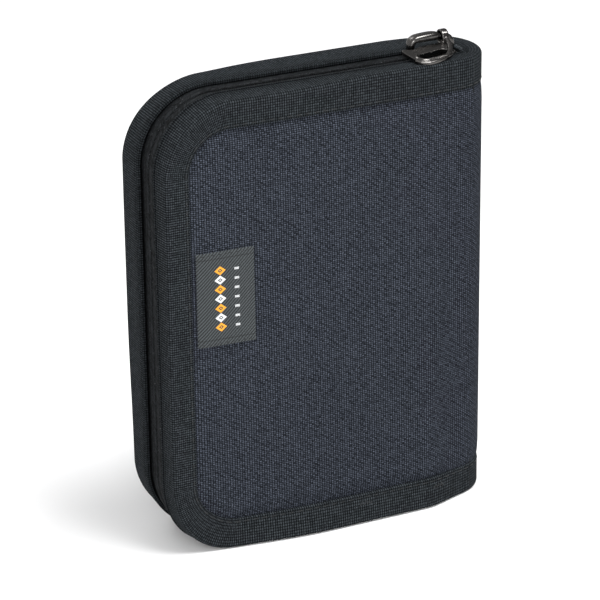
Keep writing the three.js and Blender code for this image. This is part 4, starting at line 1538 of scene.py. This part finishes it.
class WALLET_OT_pull(bpy.types.Operator):
    """Cast pull with a rimmed oval slot, lying over the front edge"""

    bl_idname = "wallet.pull"
    bl_label = "Zip pull"
    bl_options = {"REGISTER", "UNDO"}

    def execute(self, context):
        bar_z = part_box("slider_crown")[1].z / MM - 0.85
        middle = sum(v.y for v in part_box("slider_crown")) / 2 / MM
        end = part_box("slider_pull")[1].x / MM
        drop = -1.1
        draft = Draft()

        # Tab: hangs askew from the eye and draws out to a point over the zip
        outline = [(end + 0.1, -2.2), (end - 0.5, -4.8), (end - 2.2, -8.9), (end - 4.6, -11.1),
                   (end - 8.6, -12.5), (end - 12.6, -12.8), (end - 14.6, -11.3), (end - 15.8, -8.6),
                   (end - 17.4, -4.4), (end - 17.2, -3.2), (end - 15.8, -3.3), (end - 13.6, -4.3),
                   (end - 11.5, -2.9), (end - 3.4, -2.6), (end - 2.4, -2.2)]
        outline = spaced(rounded_loop(outline, 2), 0.35)
        slot = self.slot((end - 11.9, -8.6), (end - 4.6, -7.6), 1.5, 40)
        self.slotted_tab(draft, outline, slot, drop)

        # Rim round the slot
        ring = self.slot((end - 11.9, -8.8), (end - 4.6, -7.8), 2.35, 80)
        upper = np.clip((ring[:, 1] + 8.4) / 2.0, -1, 1)
        path = np.c_[ring, drop + 0.05 - 0.40 * upper]
        draft.grid(self.ring_bar(path, 1.4, 1.7), wrap=True, close=True)

        # Lip along the lower edge and the arm up to the eye
        lip = soften([(end - 15.2, -9.6, drop), (end - 13.2, -11.9, drop), (end - 8.4, -11.8, drop + 0.1),
                      (end - 4.6, -10.3, drop + 0.2), (end - 2.0, -7.2, drop + 0.4),
                      (end - 0.9, -4.0, -0.2), (end - 1.0, -1.9, 0.2)], 2)
        draft.tube(round_bar(lip, 1.6, 1.7, (0, 0, 1)))

        # Eye round the crown's bar
        inner, outer = 1.68, 2.42
        section = self.slot((end - 1.90, (inner + outer) / 2), (end - 0.25, (inner + outer) / 2),
                            (outer - inner) / 2, 24)
        rows = np.stack([np.c_[section[:, 0], section[:, 1] * math.cos(a), section[:, 1] * math.sin(a)]
                         for a in full_turn(40)])
        draft.grid(rows, wrap=True, close=True)
        place = Matrix.Translation((0, middle * MM, bar_z * MM)) @ Matrix.Rotation(math.radians(15), 4, "X")
        cast("zip_pull", draft, place, 0.13, "pull", ["slider_pull"], 4)
        return {"FINISHED"}

    @staticmethod
    def slot(a, b, radius, count):
        """Points round a slot with half-round ends, from one end's middle to the other's."""
        a, b = np.array(a, float), np.array(b, float)
        lean = math.atan2(b[1] - a[1], b[0] - a[0])
        half = count // 2
        turn = np.linspace(-math.pi / 2, math.pi / 2, half) + lean
        points = [b + radius * np.array([math.cos(t), math.sin(t)]) for t in turn]
        points += [a - radius * np.array([math.cos(t), math.sin(t)]) for t in turn]
        return np.array(points)

    @staticmethod
    def ring_bar(path, wide, tall):
        """A closed bar with an oval section round a flat path."""
        along = unit(np.roll(path, -1, 0) - np.roll(path, 1, 0))
        up = np.array([0, 0, 1.0])
        across = np.cross(along, up)
        turn = full_turn(14)
        return (path[:, None] + np.cos(turn)[None, :, None] * across[:, None] * wide / 2
                + np.sin(turn)[None, :, None] * up * tall / 2)

    @staticmethod
    def slotted_tab(draft, outline, slot, level):
        """The tab's plate, from the slot in its middle out to its outline."""
        middle = slot.mean(0)
        turn = np.linspace(-math.pi, math.pi, 180, endpoint=False)
        loops = []
        for loop in (slot, outline):
            away = spaced(loop, 0.1) - middle
            angle = np.arctan2(away[:, 1], away[:, 0])
            order = np.argsort(angle)
            reach = np.interp(turn, angle[order], np.hypot(*away.T)[order], period=2 * math.pi)
            loops.append(middle + reach[:, None] * np.c_[np.cos(turn), np.sin(turn)])
        inner, outer = loops
        half = 0.6
        rows = [np.c_[loop, np.full(len(turn), level + up)]
                for loop, up in ((inner, -half), (inner, half), (outer, half), (outer, -half))]
        draft.grid(np.stack(rows, 1), wrap=True, close=True)


# ---------------------------------------------------------------- label and pockets


class WALLET_OT_label(bpy.types.Operator):
    """Woven label sewn on beside the edge tape"""

    bl_idname = "wallet.label"
    bl_label = "Label"
    bl_options = {"REGISTER", "UNDO"}

    def execute(self, context):
        low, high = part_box("woven_label")
        width, height = high.x - low.x, high.z - low.z
        thickness = 0.42 * MM
        roll = 0.16 * MM
        u = np.linspace(0, 1, 25)
        v = np.linspace(0, 1, 41)

        def layer(pulled, share):
            x = low.x + pulled * roll + (width - 2 * pulled * roll) * u
            z = low.z + pulled * roll + (height - 2 * pulled * roll) * v
            x, z = np.meshgrid(x, z, indexing="ij")
            near = np.minimum(np.minimum(x - low.x, high.x - x), np.minimum(z - low.z, high.z - z))
            hem = 1 - ease(np.minimum(z - low.z, high.z - z), 1.9 * MM, 2.4 * MM)
            loose = 0.10 * MM * ease(near, 0, 5 * MM) + 0.12 * MM * hem
            loose += 0.05 * MM * np.sin(z / (5 * MM)) * ease(near, 0, 3 * MM)
            under = cloth_depth(x, z, FRONT) - 0.03 * MM
            depth = under - (thickness + loose) * (1 - share)
            points = cover_place(x, z, depth, FRONT)
            return points, np.stack([x - low.x, z - low.z], -1) / MM

        weave = label_weave(width / MM, height / MM)
        made = piece("sewn_label", rolled(layer), weave, "front_cover", ["woven_label"])

        stitches = Draft()
        inset = 0.9 * MM
        left, right = low.x + inset, high.x - inset
        for start, stop, level in ((left, right, low.z + inset), (right, left, high.z - inset)):
            x = np.linspace(start, stop, 12)
            z = np.full(12, level)
            depth = cloth_depth(x, z, FRONT) - thickness - 0.13 * MM
            sew(stitches, cover_place(x, z, depth, FRONT), (0, -1, 0),
                length=1.9 * MM, width=0.30 * MM, height=0.24 * MM)
        piece("label_stitches", stitches, sewing_thread(), "front_cover")
        return {"FINISHED"}


def pocket_panel(low, high, side, depth, flange):
    """A pocket's cloth: a flange sewn down on three sides, a rounded rise, and a panel off the lining."""
    x0, x1, z0, z1 = low.x, high.x, low.z, high.z
    close = np.array([0, 0.5, 1.0, 1.3, 1.6, 1.9, 2.3, 2.8, 3.5, 4.5]) * MM

    def spread(a, b, both):
        inner = np.arange(a + 6 * MM, b - (6 * MM if both else 0), 2.6 * MM)
        tail = (b - close)[::-1] if both else np.array([b])
        return np.concatenate([a + close, inner, tail])

    x, z = np.meshgrid(spread(x0, x1, True), spread(z0, z1, False), indexing="ij")
    radius = 4 * MM
    in_corner = (z < z0 + radius) & ((x < x0 + radius) | (x > x1 - radius))
    corner_x = np.where(x < (x0 + x1) / 2, x0 + radius, x1 - radius)
    round_edge = radius - np.hypot(x - corner_x, z - z0 - radius)
    edge = np.where(in_corner, round_edge, np.minimum(np.minimum(x - x0, x1 - x), z - z0))
    rise = np.clip((edge - flange) / (1.9 * MM), 0, 1)
    shape = np.sqrt(np.maximum(1 - (1 - rise) ** 2, 0))
    bow = np.sin(math.pi * (x - x0) / (x1 - x0)) * ease(z, z0, z1)
    lining = HALF - POCKET_BACK
    off = 0.15 * MM + (depth - 0.15 * MM) * shape + 0.25 * MM * bow * shape
    points = np.stack([x, side * (lining - off), z], -1)
    return points, np.stack([x, z], -1) / MM


class WALLET_OT_pockets(bpy.types.Operator):
    """Passport sleeve and document pocket, with the tapes over their mouths"""

    bl_idname = "wallet.pockets"
    bl_label = "Pockets"
    bl_options = {"REGISTER", "UNDO"}

    def execute(self, context):
        for side, name in ((FRONT, "passport_sleeve"), (BACK, "document_pocket")):
            low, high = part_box(name)
            inner = high.y if side == FRONT else low.y
            depth = HALF - POCKET_BACK - abs(inner)
            points, cloth = pocket_panel(low, high, side, depth - 0.3 * MM, 1.1 * MM)
            draft = Draft()
            draft.grid(points, cloth)
            made = piece(f"{name}_cloth", draft, lining_nylon(), BODY[side], [name])
            self.thicken(made, 0.45 * MM)
            self.edging(side, f"{name}_edging", points)
            self.seam(side, name, low, high)
        return {"FINISHED"}

    @staticmethod
    def thicken(made, thickness):
        solid = made.modifiers.new("cloth", "SOLIDIFY")
        solid.thickness = thickness
        solid.offset = 0.0
        smooth = made.modifiers.new("smooth", "SUBSURF")
        smooth.levels = smooth.render_levels = 1
        finish_modifiers(made)
        made.data.shade_smooth()

    @staticmethod
    def edging(side, node, panel):
        """Tape folded over the pocket's mouth, along the panel's upper edge."""
        low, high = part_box(node)
        mouth = panel[:, -1]
        x = np.linspace(low.x, high.x, 60)
        y = np.interp(x, mouth[:, 0], mouth[:, 1])
        gap = 0.42 * MM
        section = band(soften([(-gap, -5 * MM), (-gap, -2.5 * MM), (-gap, -0.2 * MM), (0, 0.35 * MM),
                               (gap, -0.2 * MM), (gap, -2.5 * MM), (gap, -5 * MM)], 2), 0.36 * MM)
        top = high.z - 0.5 * MM
        draft = Draft()
        draft.tube(together(x[:, None], y[:, None] + section[None, :, 0], top + section[None, :, 1]),
                   section_cloth(section, x))
        sewn = top - 3.9 * MM
        for away in (-1, 1):
            line = np.stack([x, y + away * (gap + 0.2 * MM), np.full_like(x, sewn)], -1)
            sew(draft, line, (0, away, 0), length=2.6 * MM, width=0.34 * MM, height=0.24 * MM)
        piece(f"{node}_tape", draft, edge_tape(), BODY[side], [node])

    @staticmethod
    def seam(side, name, low, high):
        """Stitches that hold the flange down on the lining."""
        inset = 0.55 * MM
        radius = 4 * MM - inset
        z = np.linspace(high.z - 1 * MM, low.z + 4 * MM, 40)
        turn = np.linspace(math.pi, 1.5 * math.pi, 10)
        left = np.c_[np.full_like(z, low.x + inset), z]
        corner = np.c_[low.x + 4 * MM + radius * np.cos(turn), low.z + 4 * MM + radius * np.sin(turn)]
        half = np.concatenate([left, corner])
        mirror = np.c_[low.x + high.x - half[::-1, 0], half[::-1, 1]]
        line = np.concatenate([half, mirror])
        y = np.full(len(line), side * (HALF - POCKET_BACK - 0.42 * MM))
        draft = Draft()
        sew(draft, np.c_[line[:, 0], y, line[:, 1]], (0, -side, 0),
            length=2.6 * MM, width=0.3 * MM, height=0.2 * MM)
        piece(f"{name}_seam", draft, sewing_thread(), BODY[side])


class WALLET_OT_card_slots(bpy.types.Operator):
    """Three stepped card slots on the document pocket"""

    bl_idname = "wallet.card_slots"
    bl_label = "Card slots"
    bl_options = {"REGISTER", "UNDO"}

    def execute(self, context):
        for name in ("card_slot_high", "card_slot_middle", "card_slot_low"):
            low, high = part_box(name)
            x = np.linspace(low.x, high.x, 46)
            z = np.concatenate([np.linspace(low.z, high.z - 5 * MM, 14)[:-1],
                                np.linspace(high.z - 5 * MM, high.z, 9)])
            x, z = np.meshgrid(x, z, indexing="ij")
            middle = (low.y + high.y) / 2
            wave = 0.07 * MM * np.sin(x / (8 * MM) + z / (30 * MM)) * ease(high.z - z, 0, 4 * MM)
            draft = Draft()
            draft.grid(np.stack([x, middle + wave, z], -1), np.stack([x, z], -1) / MM)
            made = piece(f"{name}_cloth", draft, lining_nylon(), "back_cover", [name])
            WALLET_OT_pockets.thicken(made, 0.30 * MM)
            self.hem(name, low, high, middle)
        return {"FINISHED"}

    @staticmethod
    def hem(name, low, high, middle):
        """Folded hem along a slot's mouth, with its row of stitches and the sewn sides."""
        x = np.linspace(low.x + 0.3 * MM, high.x - 0.3 * MM, 50)
        section = band(soften([(0.0, -3.2 * MM), (-0.02 * MM, -1.6 * MM), (0.0, 0.0)], 1), 0.46 * MM)
        top = high.z
        draft = Draft()
        draft.tube(together(x[:, None], middle + section[None, :, 0], top + section[None, :, 1]),
                   section_cloth(section, x))
        y = middle - 0.26 * MM
        line = np.stack([x, np.full_like(x, y), np.full_like(x, top - 2.5 * MM)], -1)
        sew(draft, line, (0, -1, 0), length=2.4 * MM, width=0.28 * MM, height=0.16 * MM)
        for side_x in (low.x + 0.7 * MM, high.x - 0.7 * MM):
            z = np.linspace(low.z + 1 * MM, top - 1 * MM, 12)
            line = np.stack([np.full_like(z, side_x), np.full_like(z, y + 0.08 * MM), z], -1)
            sew(draft, line, (0, -1, 0), length=2.4 * MM, width=0.28 * MM, height=0.16 * MM)
        piece(f"{name}_hem", draft, lining_nylon(), "back_cover")


# ---------------------------------------------------------------- stage


class WALLET_OT_stage(bpy.types.Operator):
    """Pale floor, soft studio lights and the camera"""

    bl_idname = "wallet.stage"
    bl_label = "Stage"
    bl_options = {"REGISTER", "UNDO"}

    def execute(self, context):
        scene = context.scene
        scene.view_settings.view_transform = "Standard"
        self.floor()
        self.world(scene)
        self.lights()
        self.camera(scene)
        return {"FINISHED"}

    @staticmethod
    def floor():
        """A sheet of pale paper, just under the wallet"""
        draft = Draft()
        side = np.linspace(-4, 4, 9)
        x, y = np.meshgrid(side, side, indexing="ij")
        draft.grid(np.stack([x, y, np.full_like(x, -0.05 * MM)], -1))
        mesh = bpy.data.meshes.new("floor")
        mesh.from_pydata(np.concatenate(draft.points).tolist(), [], draft.faces)
        floor = bpy.data.objects.new("floor", mesh)
        bpy.context.scene.collection.objects.link(floor)
        material, graph, shader = new_material("floor_paper", 0.9, specular=0.1)
        place = graph.node("ShaderNodeTexCoord").outputs["Object"]
        paper = graph.tint(graph.noise(place, 3.0, 2.0), (0.90, 0.90, 0.905, 1), (0.92, 0.92, 0.92, 1))
        graph.feed(shader.inputs["Base Color"], paper)
        mesh.materials.append(material)

    @staticmethod
    def world(scene):
        world = bpy.data.worlds.new("studio")
        world.use_nodes = True
        graph = Graph(world.node_tree)
        sky = world.node_tree.nodes["Background"]
        sky.inputs["Color"].default_value = (1.0, 1.0, 1.0, 1.0)
        x, _ = graph.parts(graph.node("ShaderNodeTexCoord").outputs["Generated"])
        graph.feed(sky.inputs["Strength"], graph.between(x, 0.0, 0.7, 0.62, 0.14))
        scene.world = world

    @staticmethod
    def lights():
        """Place, size, target and power of each soft box, and of one spotlight with a soft edge."""
        boxes = {
            "key": ((-0.46, -0.74, 0.50), 0.60, (-0.02, 0, 0.07), 3.5),
            "top": ((0.34, -0.42, 1.40), 0.65, (0, 0, 0.0), 22),
            "edge": ((-0.30, 0.90, 0.90), 0.35, (0.0, 0, 0.14), 2.0),
            "spot": ((-0.42, -0.85, 0.42), 0.14, (-0.035, 0, 0.09), 16),
        }
        for name, (place, size, target, power) in boxes.items():
            if name == "spot":
                data = bpy.data.lights.new(name, "SPOT")
                data.spot_size = math.radians(17)
                data.spot_blend = 1.0
                data.shadow_soft_size = size
            else:
                data = bpy.data.lights.new(name, "AREA")
                data.shape = "SQUARE"
                data.size = size
            data.energy = power
            light = bpy.data.objects.new(name, data)
            light.location = place
            light.rotation_euler = (Vector(target) - Vector(place)).to_track_quat("-Z", "Y").to_euler()
            bpy.context.scene.collection.objects.link(light)

    @staticmethod
    def camera(scene):
        azimuth, elevation, roll = (math.radians(a) for a in (-25.69, 22.33, -0.69))
        back = Vector((math.sin(azimuth) * math.cos(elevation), -math.cos(azimuth) * math.cos(elevation),
                       math.sin(elevation)))
        target = Vector((-4.8, 0, 73.8)) * MM
        distance = 959 * MM
        data = bpy.data.cameras.new("camera")
        data.sensor_width = 36
        data.lens = 181.5
        data.clip_start = 0.05
        data.clip_end = 50
        camera = bpy.data.objects.new("camera", data)
        turn = (-back).to_track_quat("-Z", "Y").to_matrix() @ Matrix.Rotation(roll, 3, "Z")
        camera.matrix_world = Matrix.Translation(target + back * distance) @ turn.to_4x4()
        scene.collection.objects.link(camera)
        scene.camera = camera


STEPS = ("stage", "panels", "padding", "linings", "bindings", "stitching", "zip", "slider", "pull",
         "label", "pockets", "card_slots")


class WALLET_PT_pieces(bpy.types.Panel):
    """Lists the sizes, the colours and the steps of making the wallet"""

    bl_idname = "WALLET_PT_pieces"
    bl_label = "Passport wallet"
    bl_space_type = "VIEW_3D"
    bl_region_type = "UI"
    bl_category = "Wallet"

    def draw(self, context):
        for group in (context.scene.wallet_sizes, context.scene.wallet_colours):
            box = self.layout.box()
            for name in group.__annotations__:
                box.prop(group, name)
        for step in STEPS:
            self.layout.operator(f"wallet.{step}")


CLASSES = (WalletSizes, WalletColours, WALLET_OT_stage, WALLET_OT_panels, WALLET_OT_padding,
           WALLET_OT_linings, WALLET_OT_bindings, WALLET_OT_stitching, WALLET_OT_zip, WALLET_OT_slider,
           WALLET_OT_pull, WALLET_OT_label, WALLET_OT_pockets, WALLET_OT_card_slots, WALLET_PT_pieces)


def register():
    for cls in CLASSES:
        bpy.utils.register_class(cls)
    bpy.types.Scene.wallet_sizes = PointerProperty(type=WalletSizes)
    bpy.types.Scene.wallet_colours = PointerProperty(type=WalletColours)


def unregister():
    del bpy.types.Scene.wallet_colours
    del bpy.types.Scene.wallet_sizes
    for cls in reversed(CLASSES):
        bpy.utils.unregister_class(cls)


def main():
    register()
    for step in STEPS:
        getattr(bpy.ops.wallet, step)()


if __name__ == "__main__":
    main()
